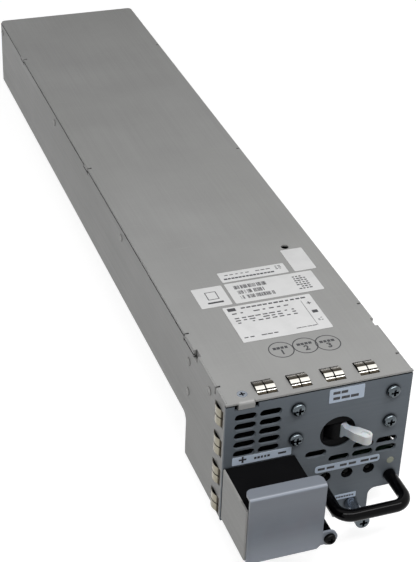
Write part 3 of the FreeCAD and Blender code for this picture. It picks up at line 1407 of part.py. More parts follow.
def nodes():
    """Every separate piece by its name."""
    pieces = {
        "chassis": chassis(),
        "top_cover": top_cover(),
        "lid_screw": lid_screw(),
        "side_rivets": side_rivets(),
        "rear_panel": rear_panel(),
        "front_panel": front_panel(),
        "lid_bracket": lid_bracket(),
        "handle": handle(),
        "handle_screws": handle_screws(),
        "retaining_sleeve": retaining_sleeve(),
        "retaining_screw": retaining_screw(),
        "retaining_clip": retaining_clip(),
        "led_standoffs": led_standoffs(),
        "led_board": led_board(),
        "led_board_screws": led_board_screws(),
        "breaker_body": breaker_body(),
        "breaker_pivot_pin": breaker_pivot_pin(),
        "breaker_hub": breaker_hub(),
        "breaker_toggle": breaker_toggle(),
        "breaker_screws": breaker_screws(),
        "breaker_cradle": breaker_cradle(),
        "breaker_terminals": breaker_terminals(),
        "breaker_nuts": breaker_nuts(),
        "terminal_shroud": terminal_shroud(),
        "terminal_block": terminal_block(),
        "terminal_studs": terminal_studs(),
        "terminal_washers": terminal_washers(),
        "terminal_nuts": terminal_nuts(),
        "terminal_rear_nuts": terminal_rear_nuts(),
        "input_busbars": input_busbars(),
        "terminal_cover": terminal_cover(),
        "cover_standoff": cover_standoff(),
        "standoff_nut": standoff_nut(),
        "cover_screw": cover_screw(),
        "main_board": main_board(),
        "board_standoffs": board_standoffs(),
        "board_screws": board_screws(),
        "insulator_sheet": insulator_sheet(),
        "input_capacitors": input_capacitors(),
        "output_capacitors": output_capacitors(),
        "input_choke": input_choke(),
        "output_inductor": output_inductor(),
        "heatsink_left": heatsink(-1),
        "heatsink_right": heatsink(1),
        "transformer_core": transformer_core(),
        "transformer_winding": transformer_winding(),
        "fan_frame": fan_frame(),
        "fan_rotor": fan_rotor(),
        "fan_screws": fan_screws(),
        "rear_connector": rear_connector(),
        "connector_blades": connector_blades(),
    }
    for name, x in zip(("left", "middle", "right"), LED_XS):
        pieces["status_led_" + name] = status_led(x)
    pieces.update(emi_strips())
    return pieces


def export():
    os.makedirs("parts", exist_ok=True)
    to_box = Vector(0, -(BOX_FRONT + BOX_BACK) / 2, TAB_DROP)
    for name, shape in nodes().items():
        shape.translated(to_box).exportStep("parts/" + name + ".step")


export()
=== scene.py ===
"""Finishes, printed labels and small hardware for the plug-in power supply, on a white studio floor."""

import json
import math

import bmesh
import bpy
from bpy.props import FloatProperty, FloatVectorProperty, IntProperty, PointerProperty
from mathutils import Matrix, Vector


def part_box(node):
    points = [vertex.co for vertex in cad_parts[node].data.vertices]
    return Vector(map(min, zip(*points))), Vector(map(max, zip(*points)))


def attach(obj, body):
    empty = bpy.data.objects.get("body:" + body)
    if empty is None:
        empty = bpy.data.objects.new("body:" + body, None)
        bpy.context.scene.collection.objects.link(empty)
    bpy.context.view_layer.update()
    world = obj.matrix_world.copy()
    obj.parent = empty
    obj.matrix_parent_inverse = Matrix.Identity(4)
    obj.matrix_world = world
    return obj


bl_info = {
    "name": "Plug-in power supply finish",
    "version": (1, 0, 0),
    "blender": (4, 5, 0),
    "location": "View3D > Sidebar > Power Supply",
    "description": "Gives the packed power supply its finishes, labels, small hardware and studio",
    "category": "Object",
}

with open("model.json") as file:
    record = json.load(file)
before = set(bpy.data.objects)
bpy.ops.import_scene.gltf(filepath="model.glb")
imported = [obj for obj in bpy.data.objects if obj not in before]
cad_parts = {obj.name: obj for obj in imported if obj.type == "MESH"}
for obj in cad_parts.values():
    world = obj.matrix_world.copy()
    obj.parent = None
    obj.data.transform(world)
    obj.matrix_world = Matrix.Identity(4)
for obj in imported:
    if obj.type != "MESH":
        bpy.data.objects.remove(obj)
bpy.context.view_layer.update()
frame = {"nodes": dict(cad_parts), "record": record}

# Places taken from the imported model, in metres

LID_LOW, LID_HIGH = (Vector(corner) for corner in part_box("top_cover"))
PANEL_LOW = Vector(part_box("front_panel")[0])
CASE_LOW, CASE_HIGH = (Vector(corner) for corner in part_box("chassis"))
MM = 0.001


def mm(*values):
    """Millimetres to metres, one number or a vector."""
    return values[0] * MM if len(values) == 1 else Vector(values) * MM


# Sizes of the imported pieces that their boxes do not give

CASE_SHEET = mm(1.0)
PANEL_SHEET = mm(1.5)
STANDOFF_RADIUS = mm(3.0)
STUD_RADIUS = mm(3.0)
CAPTIVE_SCREW_RADIUS = mm(2.5)

# How far the finger strips reach under the sheet before and behind their slots
STRIP_FRONT_LIP = mm(1.5)
STRIP_REAR_LIP = mm(3.0)


def lid_spot(x, y):
    """Matrix that lays a flat drawing on the lid, x from its left edge and y from its front edge."""
    return Matrix.Translation((LID_LOW.x + mm(x), LID_LOW.y + mm(y), LID_HIGH.z))


def panel_spot(x, z):
    """Matrix that stands a flat drawing on the panel, x from its left edge and z from the case's bottom."""
    place = Matrix.Translation((PANEL_LOW.x + mm(x), PANEL_LOW.y, CASE_LOW.z + mm(z)))
    return place @ Matrix.Rotation(math.radians(90), 4, "X")


# Settings a user would change

class SheetFinishSettings(bpy.types.PropertyGroup):
    zinc_colour: FloatVectorProperty(
        name="Zinc sheet", description="Colour of the plated case and lid", subtype="COLOR",
        default=(0.35, 0.35, 0.345), min=0, max=1)
    zinc_roughness: FloatProperty(
        name="Zinc roughness", description="How dull the case and lid are", subtype="FACTOR",
        default=0.46, min=0, max=1)
    panel_colour: FloatVectorProperty(
        name="Panel sheet", description="Colour of the front panel", subtype="COLOR",
        default=(0.140, 0.163, 0.188), min=0, max=1)
    # Painted shade: the shelf's plated sheet darkened to the shade inside the case
    shelf_colour: FloatVectorProperty(
        name="Shelf sheet", description="Colour of the dark shelf under the breaker", subtype="COLOR",
        default=(0.02, 0.02, 0.022), min=0, max=1)
    panel_roughness: FloatProperty(
        name="Panel roughness", description="How dull the front panel is", subtype="FACTOR",
        default=0.48, min=0, max=1)


class HardwareFinishSettings(bpy.types.PropertyGroup):
    plated_colour: FloatVectorProperty(
        name="Plated steel", description="Colour of screws, nuts and standoffs", subtype="COLOR",
        default=(0.108, 0.125, 0.137), min=0, max=1)
    turned_colour: FloatVectorProperty(
        name="Turned steel", description="Colour of the captive screw's sleeve and the lid screw",
        subtype="COLOR", default=(0.30, 0.33, 0.375), min=0, max=1)
    rivet_colour: FloatVectorProperty(
        name="Rivets", description="Colour of the side rivets", subtype="COLOR",
        default=(0.25, 0.25, 0.245), min=0, max=1)
    stud_colour: FloatVectorProperty(
        name="Press-in studs", description="Colour of the dull studs in the front panel", subtype="COLOR",
        default=(0.25, 0.26, 0.215), min=0, max=1)
    spring_colour: FloatVectorProperty(
        name="Spring alloy", description="Colour of the grounding fingers", subtype="COLOR",
        default=(0.28, 0.26, 0.205), min=0, max=1)
    # Painted highlight: the crowns' colour stands in for the lamp mirrored in them
    crown_colour: FloatVectorProperty(
        name="Crown highlights", description="Painted highlight on the fingers' crowns", subtype="COLOR",
        default=(0.95, 0.93, 0.86), min=0, max=1)
    # Painted dark reflection and painted shade on the fingers' slopes, slot fronts and inner sides
    slope_colour: FloatVectorProperty(
        name="Slope shade", description="Colour of the fingers' slopes", subtype="COLOR",
        default=(0.035, 0.03, 0.022), min=0, max=1)
    copper_colour: FloatVectorProperty(
        name="Copper", description="Colour of the terminal studs and the blades", subtype="COLOR",
        default=(0.20, 0.12, 0.08), min=0, max=1)
    # Painted shade: the bars and lugs darkened to the shade inside the case
    tinned_colour: FloatVectorProperty(
        name="Tinned copper", description="Colour of the bars and lugs behind the panel", subtype="COLOR",
        default=(0.06, 0.06, 0.058), min=0, max=1)
    thread_pitch: FloatProperty(
        name="Thread pitch", description="Rise of one turn of the screw threads", subtype="DISTANCE",
        unit="LENGTH", default=mm(1.0), min=mm(0.3), max=mm(2.0))
    thread_rise: FloatProperty(
        name="Thread rise", description="How far the thread stands out", subtype="DISTANCE", unit="LENGTH",
        default=mm(0.16), min=mm(0.02), max=mm(0.5))
    bezel_radius: FloatProperty(
        name="Bezel radius", description="Middle radius of the indicator bezels", subtype="DISTANCE",
        unit="LENGTH", default=mm(3.0), min=mm(1), max=mm(6))
    bezel_wall: FloatProperty(
        name="Bezel wall", description="Wall of the indicator bezels", subtype="DISTANCE", unit="LENGTH",
        default=mm(0.48), min=mm(0.1), max=mm(2))
    bezel_depth: FloatProperty(
        name="Bezel depth", description="Length of the indicator bezels", subtype="DISTANCE", unit="LENGTH",
        default=mm(2.2), min=mm(0.2), max=mm(6))
    bezel_sunk: FloatProperty(
        name="Bezel set-back", description="How far the bezels lie behind the panel", subtype="DISTANCE",
        unit="LENGTH", default=mm(0.35), min=mm(0), max=mm(2))
    press_head_radius: FloatProperty(
        name="Press-in head", description="Radius of the standoff heads in the floor", subtype="DISTANCE",
        unit="LENGTH", default=mm(4.2), min=mm(2), max=mm(8))
    press_head_height: FloatProperty(
        name="Press-in head height", description="How far the standoff heads stand out", subtype="DISTANCE",
        unit="LENGTH", default=mm(0.25), min=mm(0.05), max=mm(1))


class PlasticFinishSettings(bpy.types.PropertyGroup):
    enamel_colour: FloatVectorProperty(
        name="Black enamel", description="Colour of the handle and of the cover's screw", subtype="COLOR",
        default=(0.0015, 0.0015, 0.0018), min=0, max=1)
    moulding_colour: FloatVectorProperty(
        name="Black moulding", description="Colour of the fan and the rear connector", subtype="COLOR",
        default=(0.012, 0.0135, 0.016), min=0, max=1)
    breaker_colour: FloatVectorProperty(
        name="Breaker moulding", description="Colour of the breaker and the terminal block", subtype="COLOR",
        default=(0.005, 0.005, 0.0055), min=0, max=1)
    # The cover's colour where the painted shade of the block behind it lies
    cover_colour: FloatVectorProperty(
        name="Milky cover", description="Colour of the terminal cover", subtype="COLOR",
        default=(0.178, 0.203, 0.242), min=0, max=1)
    # Painted light: the cover's colour on its flange and away from the block's painted shade
    flange_colour: FloatVectorProperty(
        name="Cover flange", description="Colour of the cover where nothing dark lies behind it",
        subtype="COLOR", default=(0.235, 0.258, 0.30), min=0, max=1)
    lever_colour: FloatVectorProperty(
        name="White lever", description="Colour of the breaker lever", subtype="COLOR",
        default=(0.72, 0.74, 0.74), min=0, max=1)
    # Painted shade: the lever's colour near its root
    lever_root_colour: FloatVectorProperty(
        name="Lever root", description="Painted shade near the lever's root", subtype="COLOR",
        default=(0.40, 0.44, 0.49), min=0, max=1)
    # Matt black with no sheen, as painted shade in the indicator holes
    rubber_colour: FloatVectorProperty(
        name="Rubber", description="Matt black rubber of the bezels", subtype="COLOR",
        default=(0.005, 0.005, 0.0055), min=0, max=1)


class LabelSettings(bpy.types.PropertyGroup):
    paper_colour: FloatVectorProperty(
        name="Paper", description="Colour of the stickers", subtype="COLOR",
        default=(0.77, 0.77, 0.77), min=0, max=1)
    panel_paper_colour: FloatVectorProperty(
        name="Panel film", description="Colour of the stickers on the front panel", subtype="COLOR",
        default=(0.575, 0.66, 0.78), min=0, max=1)
    ink_colour: FloatVectorProperty(
        name="Ink", description="Colour of the print", subtype="COLOR",
        default=(0.025, 0.025, 0.03), min=0, max=1)
    paper_thickness: FloatProperty(
        name="Paper thickness", description="How far a sticker stands out", subtype="DISTANCE", unit="LENGTH",
        default=mm(0.12), min=mm(0.02), max=mm(0.5))
    ink_thickness: FloatProperty(
        name="Ink thickness", description="How far the print stands out", subtype="DISTANCE", unit="LENGTH",
        default=mm(0.03), min=mm(0.005), max=mm(0.1))
    corner_radius: FloatProperty(
        name="Corner radius", description="Rounding of the stickers' corners", subtype="DISTANCE",
        unit="LENGTH", default=mm(0.7), min=mm(0.1), max=mm(3))
    stamp_radius: FloatProperty(
        name="Stamp radius", description="Radius of the inspection rings", subtype="DISTANCE", unit="LENGTH",
        default=mm(6.6), min=mm(2), max=mm(12))
    stamp_line: FloatProperty(
        name="Stamp line", description="Line width of the inspection rings", subtype="DISTANCE",
        unit="LENGTH", default=mm(0.55), min=mm(0.1), max=mm(1))
    print_seed: IntProperty(
        name="Print seed", description="Which bars the print rows come out with", subtype="UNSIGNED",
        default=7, min=0)


class StageSettings(bpy.types.PropertyGroup):
    floor_colour: FloatVectorProperty(
        name="Floor", description="Colour of the floor", subtype="COLOR",
        default=(0.36, 0.36, 0.36), min=0, max=1)
    floor_glow: FloatProperty(
        name="Floor white", description="White added where the floor is seen or mirrored", subtype="FACTOR",
        default=0.86, min=0, max=1)
    key_power: FloatProperty(
        name="Key lamp", description="Power of the lamp over the front", subtype="POWER", unit="POWER",
        default=3.75, min=0)
    fill_power: FloatProperty(
        name="Side lamp", description="Power of the lamp on the left", subtype="POWER", unit="POWER",
        default=1.5, min=0)
    rear_power: FloatProperty(
        name="Rear lamp", description="Power of the low lamp behind on the right", subtype="POWER",
        unit="POWER", default=1.6, min=0)
    room_light: FloatProperty(
        name="Room light", description="Level of the light from all round", subtype="FACTOR",
        default=0.115, min=0, max=1)
    camera_place: FloatVectorProperty(
        name="Camera place", description="Where the camera stands", subtype="TRANSLATION", unit="LENGTH",
        default=(-0.2623, -0.75095, 0.5263))
    camera_turn: FloatProperty(
        name="Camera turn", description="Angle the camera looks to the right of the module's length",
        subtype="ANGLE", unit="ROTATION", default=math.radians(20.95))
    camera_dip: FloatProperty(
        name="Camera dip", description="Angle the camera looks down", subtype="ANGLE", unit="ROTATION",
        default=math.radians(32.97))
    camera_roll: FloatProperty(
        name="Camera roll", description="Angle the camera is tipped sideways", subtype="ANGLE",
        unit="ROTATION", default=math.radians(-2.45))
    camera_lens: FloatProperty(
        name="Camera lens", description="Focal length in millimetres on a 36 mm sensor",
        subtype="DISTANCE_CAMERA", unit="CAMERA", default=93.2, min=10)


# Node materials

# Stretch of the rolling lines, along the module's length and across it
LINES_ALONG = (900.0, 9.0, 900.0)
LINES_ACROSS = (9.0, 900.0, 900.0)

# Painted shade in seams: the openness at which a seam is fully dark and not dark at all, the share of the
# colour left in it, and the rays that look for it
SEAM_OPENNESS = (0.4, 0.95)
SEAM_SHADE_TONE = 0.08
SEAM_SAMPLES = 8

# Fingers in a slot, as shares of its length from the front: painted highlight bands, their soft edge,
# the painted shade at the front
HIGHLIGHT_BANDS = ((0.195, 0.217), (0.29, 0.49))
BAND_EDGE = 0.004
SHADED_FRONT = (0.28, 0.34)

# Fingers on the sides: a face's facing along Y, and its place times its facing along X, from painted dark
# reflection and painted shade to plain
FRONT_SLOPE = (-0.56, -0.46)
INNER_SIDE = (mm(-20), mm(-10))

# Shares of the lever's length from its tip between which it darkens to the painted shade of its root
ROOT_SHADE_SHARES = (0.3, 0.75)

# Upward facing of the cover where the painted light of its flange begins, and where the painted highlight of
# its bend begins and ends
FLANGE_TILT = (0.25, 0.5)
BEND_START_TILT = (0.3, 0.5)
BEND_END_TILT = (0.85, 0.95)

# Heights on the cover from the block's middle, as shares of half the block: where the shade of the block
# fades, and where the pale low end is reached
BLOCK_SHADE = (0.3, 1.1)
LOW_END = 1.15

# Tones of the cover's pale low end and of the painted highlight on its bend, as shares of the flange's
LOW_END_TONE = 1.45
BEND_HIGHLIGHT_TONE = 1.6


class Finish:
    """One material: its shader, and short ways to add the nodes that feed it."""

    def __init__(self, name, colour, roughness, metallic=0.0, **sockets):
        self.material = bpy.data.materials.new(name)
        self.material.use_nodes = True
        self.material.diffuse_color = (*colour, 1.0)
        self.tree = self.material.node_tree
        self.shader = self.tree.nodes["Principled BSDF"]
        self.colour = Vector(colour)
        self.shader.inputs["Base Color"].default_value = (*colour, 1.0)
        self.shader.inputs["Roughness"].default_value = roughness
        self.shader.inputs["Metallic"].default_value = metallic
        for socket, value in sockets.items():
            self.shader.inputs[socket.replace("_", " ")].default_value = value
        self.coordinate = self.tree.nodes.new("ShaderNodeTexCoord").outputs["Object"]

    def node(self, kind, **links):
        """Adds a node. Its inputs are given by name, with a line for each space."""
        made = self.tree.nodes.new(kind)
        for name, value in links.items():
            self.feed(made.inputs[name.replace("_", " ")], value)
        return made

    def feed(self, socket, value):
        if isinstance(value, bpy.types.NodeSocket):
            self.tree.links.new(value, socket)
        else:
            socket.default_value = value

    def grid(self, scale, turn=(0, 0, 0)):
        """Object coordinates stretched by a scale for each axis."""
        made = self.node("ShaderNodeMapping", Vector=self.coordinate, Scale=scale, Rotation=turn)
        return made.outputs["Vector"]

    def noise(self, scale, detail=3.0, vector=None):
        made = self.node("ShaderNodeTexNoise", Vector=vector or self.coordinate, Scale=scale, Detail=detail)
        return made.outputs["Fac"]

    def span(self, value, low, high, start=0.3, end=0.7):
        """Spreads a value between start and end over low to high."""
        made = self.node("ShaderNodeMapRange", Value=value)
        for name, number in (("From Min", start), ("From Max", end), ("To Min", low), ("To Max", high)):
            made.inputs[name].default_value = number
        return made.outputs["Result"]

    def mix(self, factor, first, second):
        made = self.tree.nodes.new("ShaderNodeMix")
        made.data_type = "RGBA"
        for socket, value in zip((made.inputs[0], made.inputs[6], made.inputs[7]), (factor, first, second)):
            if isinstance(value, Vector):
                value = (*value, 1.0)
            self.feed(socket, value)
        return made.outputs[2]

    def maths(self, operation, first, second):
        made = self.tree.nodes.new("ShaderNodeMath")
        made.operation = operation
        self.feed(made.inputs[0], first)
        self.feed(made.inputs[1], second)
        return made.outputs["Value"]

    def axes(self, vector):
        """The X, Y and Z of a vector."""
        return self.node("ShaderNodeSeparateXYZ", Vector=vector).outputs

    def facing(self):
        """The X, Y and Z of the direction that a face looks in."""
        return self.axes(self.tree.nodes.new("ShaderNodeNewGeometry").outputs["Normal"])

    def band(self, value, rise, fall):
        """1 between two edges, each given by its start and its end."""
        return self.maths("MULTIPLY", self.span(value, 0.0, 1.0, *rise), self.span(value, 1.0, 0.0, *fall))

    def paint(self, colour):
        self.tree.links.new(colour, self.shader.inputs["Base Color"])

    def dull(self, roughness):
        self.tree.links.new(roughness, self.shader.inputs["Roughness"])

    def crevice(self, colour, reach):
        """Darkens a colour where another surface lies within reach: painted shade in seams and crevices."""
        shade = self.node("ShaderNodeAmbientOcclusion", Distance=reach)
        shade.samples = SEAM_SAMPLES
        shut = self.span(shade.outputs["AO"], 1.0, 0.0, *SEAM_OPENNESS)
        return self.mix(shut, colour, self.colour * SEAM_SHADE_TONE)

    def bump(self, height, depth, strength=1.0):
        made = self.node("ShaderNodeBump", Height=height, Distance=depth, Strength=strength)
        self.tree.links.new(made.outputs["Normal"], self.shader.inputs["Normal"])


def rolled_sheet(name, colour, roughness, metallic, lines_stretch, patch_tint, line_depth=0.15):
    """Plated steel sheet with rolling lines, cloudy plating, wiped smears, a few hair scratches and painted
    shade in its seams.
    """
    sheet = Finish(name, colour, roughness, metallic, Specular_IOR_Level=0.18)
    cloud = sheet.noise(22.0, 4.0)
    lines = sheet.noise(1.0, 2.0, sheet.grid(lines_stretch))
    smear = sheet.noise(7.0, 5.0, sheet.grid((1.0, 0.35, 1.0), (0.0, 0.0, 0.5)))
    hair = sheet.noise(1.0, 1.0, sheet.grid((38.0, 1500.0, 900.0), (0.2, 0.1, 0.6)))
    base = sheet.mix(sheet.span(cloud, 0.0, 1.0), sheet.colour * 0.93, sheet.colour * 1.04)
    base = sheet.mix(sheet.span(smear, 0.0, 0.5, 0.42, 0.68), base, Vector(patch_tint))
    base = sheet.mix(sheet.span(lines, 0.0, line_depth), base, sheet.colour * 0.82)
    base = sheet.mix(sheet.span(hair, 0.0, line_depth * 0.7, 0.70, 0.76), base, sheet.colour * 1.5)
    # Painted shade where another surface lies close
    sheet.paint(sheet.crevice(base, mm(1.6)))
    sheet.dull(sheet.span(sheet.maths("ADD", smear, lines), roughness - 0.07, roughness + 0.09, 0.7, 1.3))
    sheet.bump(lines, mm(0.02 * line_depth))
    return sheet.material


def bright_metal(name, colour, roughness, tarnish):
    """Turned or pressed metal with fine tool marks, a little tarnish and painted shade in its crevices."""
    metal = Finish(name, colour, roughness, 1.0)
    cloud = metal.noise(260.0, 3.0)
    marks = metal.noise(1.0, 2.0, metal.grid((2600.0, 260.0, 2600.0)))
    base = metal.mix(metal.span(cloud, 0.0, 1.0, 0.35, 0.75), metal.colour, Vector(tarnish))
    # Painted shade where another surface lies close
    metal.paint(metal.crevice(base, mm(1.2)))
    metal.dull(metal.span(metal.maths("ADD", cloud, marks), roughness - 0.06, roughness + 0.1, 0.7, 1.3))
    metal.bump(marks, mm(0.003))
    return metal.material


def rubbed_spring(name, colour, crown, slope, slot=None):
    """Spring fingers with random tarnish, painted reflection and painted shade; in a slot, given by its front
    and back, painted highlight bands on their crowns.
    """
    spring = Finish(name, colour, 0.25, 1.0)
    cloud = spring.noise(300.0, 3.0)
    tarnish = spring.span(cloud, 0.0, 0.6, 0.4, 0.7)
    place = spring.axes(spring.coordinate)
    dark = Vector(slope)
    if slot:
        along = spring.span(place["Y"], 0.0, 1.0, *slot)
        # Painted dark reflection over the fingers, with random tarnish
        base = spring.mix(tarnish, dark * 1.6, dark)
        # Painted shade at the front of the slot
        base = spring.mix(spring.span(along, 1.0, 0.0, *SHADED_FRONT), base, dark * 0.4)
        # Painted highlight bands where the crowns mirror the lamp
        for low, high in HIGHLIGHT_BANDS:
            lit = spring.band(along, (low - BAND_EDGE, low + BAND_EDGE), (high - BAND_EDGE, high + BAND_EDGE))
            base = spring.mix(lit, base, Vector(crown))
    else:
        facing = spring.facing()
        base = spring.mix(tarnish, spring.colour, spring.colour * 0.8)
        # Painted dark reflection on slopes that face the front
        base = spring.mix(spring.span(facing["Y"], 1.0, 0.0, *FRONT_SLOPE), base, dark)
        # Painted shade on faces turned into the case
        inward = spring.maths("MULTIPLY", place["X"], facing["X"])
        base = spring.mix(spring.span(inward, 1.0, 0.0, *INNER_SIDE), base, dark)
    spring.paint(base)
    spring.dull(spring.span(cloud, 0.2, 0.34))
    return spring.material


def moulded_plastic(name, colour, roughness, grain_depth, **sockets):
    """Moulded plastic with a spark-eroded grain, faint flow clouding and rubbed, shinier patches."""
    plastic = Finish(name, colour, roughness, **sockets)
    grain = plastic.noise(2600.0, 2.0)
    flow = plastic.noise(60.0, 3.0)
    plastic.paint(plastic.mix(plastic.span(flow, 0.0, 1.0), plastic.colour * 0.9, plastic.colour * 1.08))
    plastic.dull(plastic.span(flow, roughness - 0.06, roughness + 0.07))
    plastic.bump(grain, mm(grain_depth))
    return plastic.material


def handled_lever(name, colour, root_shade_colour, tip, root):
    """White moulded lever, plain at its tip and darkened by painted shade towards the hole it stands in."""
    lever = Finish(name, colour, 0.36, Subsurface_Weight=0.15, Subsurface_Scale=0.002)
    grain = lever.noise(2600.0, 2.0)
    smear = lever.noise(140.0, 3.0)
    depth = lever.axes(lever.coordinate)["Y"]
    depth = lever.maths("ADD", depth, lever.maths("MULTIPLY", smear, mm(1.5)))
    # Painted shade darkening the lever towards its root
    root_shade = lever.span(depth, 0.0, 1.0, *(tip + (root - tip) * share for share in ROOT_SHADE_SHARES))
    base = lever.mix(lever.span(smear, 0.0, 1.0), lever.colour * 0.95, lever.colour * 1.03)
    lever.paint(lever.mix(root_shade, base, Vector(root_shade_colour)))
    lever.dull(lever.span(smear, 0.30, 0.44))
    lever.bump(grain, mm(0.008))
    return lever.material


def gloss_enamel(name, colour):
    """Stoved black enamel: gloss with a slight orange peel and specks of dust."""
    enamel = Finish(name, colour, 0.06, Specular_IOR_Level=0.09)
    peel = enamel.noise(420.0, 2.0)
    dust = enamel.noise(900.0, 2.0)
    enamel.paint(enamel.mix(enamel.span(dust, 0.0, 0.5, 0.6, 0.8), enamel.colour, enamel.colour * 4.0))
    enamel.dull(enamel.span(peel, 0.04, 0.08))
    enamel.bump(peel, mm(0.008), 0.4)
    return enamel.material


def milky_sheet(name, colour, flange, middle, half):
    """Frosted plate: painted shade of the block behind its middle, painted light on its flange and bend, pale
    at its low end.
    """
    plate = Finish(name, colour, 0.36, Transmission_Weight=0.18, IOR=1.49)
    cloud = plate.noise(45.0, 3.0)
    tint = plate.noise(70.0, 2.0, plate.grid((1.0, 1.0, 0.6)))
    base = plate.mix(plate.span(cloud, 0.0, 1.0), plate.colour * 0.89, plate.colour * 1.12)
    warm = Vector((plate.colour.x * 1.08, plate.colour.y * 0.99, plate.colour.z * 0.98))
    base = plate.mix(plate.span(tint, 0.0, 0.7, 0.45, 0.7), base, warm)
    height = plate.axes(plate.coordinate)["Z"]
    off_middle = plate.maths("ABSOLUTE", plate.maths("SUBTRACT", height, middle), 0.0)
    shade_ends = [half * share for share in BLOCK_SHADE]
    # Painted shade of the block behind the cover's middle
    base = plate.mix(plate.span(off_middle, 0.0, 1.0, *shade_ends), base, Vector(flange))
    tilt = plate.facing()["Z"]
    # Painted light on faces turned up
    base = plate.mix(plate.span(tilt, 0.0, 1.0, *FLANGE_TILT), base, Vector(flange))
    low_end = plate.span(height, 1.0, 0.0, middle - half * LOW_END, middle)
    base = plate.mix(low_end, base, Vector(flange) * LOW_END_TONE)
    # Painted highlight along the bend
    bend = plate.band(tilt, BEND_START_TILT, BEND_END_TILT)
    plate.paint(plate.mix(bend, base, Vector(flange) * BEND_HIGHLIGHT_TONE))
    plate.dull(plate.span(cloud, 0.32, 0.42))
    plate.bump(plate.noise(1800.0, 2.0), mm(0.006))
    return plate.material


def coated_paper(name, colour):
    """Coated label stock with a faint tooth and greyed patches."""
    paper = Finish(name, colour, 0.55, Specular_IOR_Level=0.2)
    wear = paper.noise(110.0, 4.0)
    paper.paint(paper.mix(paper.span(wear, 0.0, 1.0, 0.45, 0.75), paper.colour, paper.colour * 0.93))
    paper.dull(paper.span(wear, 0.5, 0.62))
    paper.bump(paper.noise(3000.0, 2.0), mm(0.004))
    return paper.material


def printing_ink(name, colour):
    """Printed or rubber-stamped ink, thin in places."""
    ink = Finish(name, colour, 0.55)
    thin = ink.noise(1400.0, 3.0)
    ink.paint(ink.mix(ink.span(thin, 0.0, 0.2, 0.5, 0.8), ink.colour, Vector((0.3, 0.3, 0.3))))
    ink.dull(ink.span(thin, 0.48, 0.62))
    return ink.material


def circuit_board(name, colour):
    """Green laminate under solder mask, with the tracks showing faintly."""
    board = Finish(name, colour, 0.38, Coat_Weight=0.3)
    tracks = board.node("ShaderNodeTexBrick", Vector=board.coordinate, Scale=90.0, Mortar_Size=0.06)
    board.paint(board.mix(tracks.outputs["Fac"], board.colour * 0.8, board.colour * 1.35))
    board.dull(board.span(board.noise(500.0), 0.33, 0.45))
    board.bump(tracks.outputs["Fac"], mm(0.03))
    return board.material


def wound_copper(name, colour):
    """Enamelled wire laid turn on turn."""
    wire = Finish(name, colour, 0.3, 0.8, Coat_Weight=0.4)
    turns = wire.node("ShaderNodeTexWave", Vector=wire.coordinate, Scale=160.0, Distortion=1.2)
    wire.paint(wire.mix(turns.outputs["Fac"], wire.colour * 0.45, wire.colour * 1.1))
    wire.dull(wire.span(turns.outputs["Fac"], 0.25, 0.45, 0.0, 1.0))
    wire.bump(turns.outputs["Fac"], mm(0.3))
    return wire.material


def sleeved_can(name, colour):
    """Shrink-sleeved capacitor cans with faint wrinkles."""
    can = Finish(name, colour, 0.3, Coat_Weight=0.3)
    wrinkle = can.noise(1.0, 2.0, can.grid((350.0, 350.0, 60.0)))
    can.paint(can.mix(can.span(wrinkle, 0.0, 1.0), can.colour * 0.85, can.colour * 1.25))
    can.dull(can.span(wrinkle, 0.24, 0.4))
    can.bump(wrinkle, mm(0.04))
    return can.material


def dressed(slot, material):
    """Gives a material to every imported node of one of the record's slots."""
    names = [part["node"] for part in frame["record"]["subparts"] if part["material_slot"] == slot]
    if not names:
        raise RuntimeError("no node has the slot " + slot)
    dressed_nodes(names, material)


def dressed_nodes(names, material):
    """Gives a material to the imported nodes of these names."""
    for name in names:
        node = frame["nodes"][name]
        if not node.material_slots:
            node.data.materials.append(material)
        for place in node.material_slots:
            place.material = material


def material_named(name):
    """A finish that an earlier step made."""
    found = bpy.data.materials.get(name)
    if found is None:
        raise RuntimeError("make the finishes first: " + name)
    return found


# Shared mesh tools

# Stickers: steps in a corner's quarter turn, its largest share of a side, and the share of the thickness
# that is softened
CORNER_STEPS = 4
CORNER_LIMIT = 0.49
SOFT_EDGE = 0.3

# Figures: type size and added stroke width, as shares of their height
TYPE_SIZE = 1.4
STROKE_GAIN = 0.035


def shown_piece(name, mesh, body="module"):
    """Puts a finished mesh in the scene as a piece of the object."""
    piece = bpy.data.objects.new(name, mesh)
    bpy.context.scene.collection.objects.link(piece)
    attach(piece, body)
    return piece


def mesh_from(bm, name, *materials):
    bmesh.ops.recalc_face_normals(bm, faces=bm.faces)
    mesh = bpy.data.meshes.new(name)
    bm.to_mesh(mesh)
    bm.free()
    for material in materials:
        mesh.materials.append(material)
    return mesh


def merged(name, meshes):
    """One mesh from several, in which every face keeps its material. The several go."""
    whole = bpy.data.meshes.new(name)
    bm = bmesh.new()
    materials = []
    for mesh in meshes:
        slots = []
        for material in mesh.materials:
            if material not in materials:
                materials.append(material)
            slots.append(materials.index(material))
        start = len(bm.faces)
        bm.from_mesh(mesh)
        bm.faces.ensure_lookup_table()
        for face in bm.faces[start:]:
            face.material_index = slots[min(face.material_index, len(slots) - 1)]
        bpy.data.meshes.remove(mesh)
    bm.to_mesh(whole)
    bm.free()
    for material in materials:
        whole.materials.append(material)
    return whole


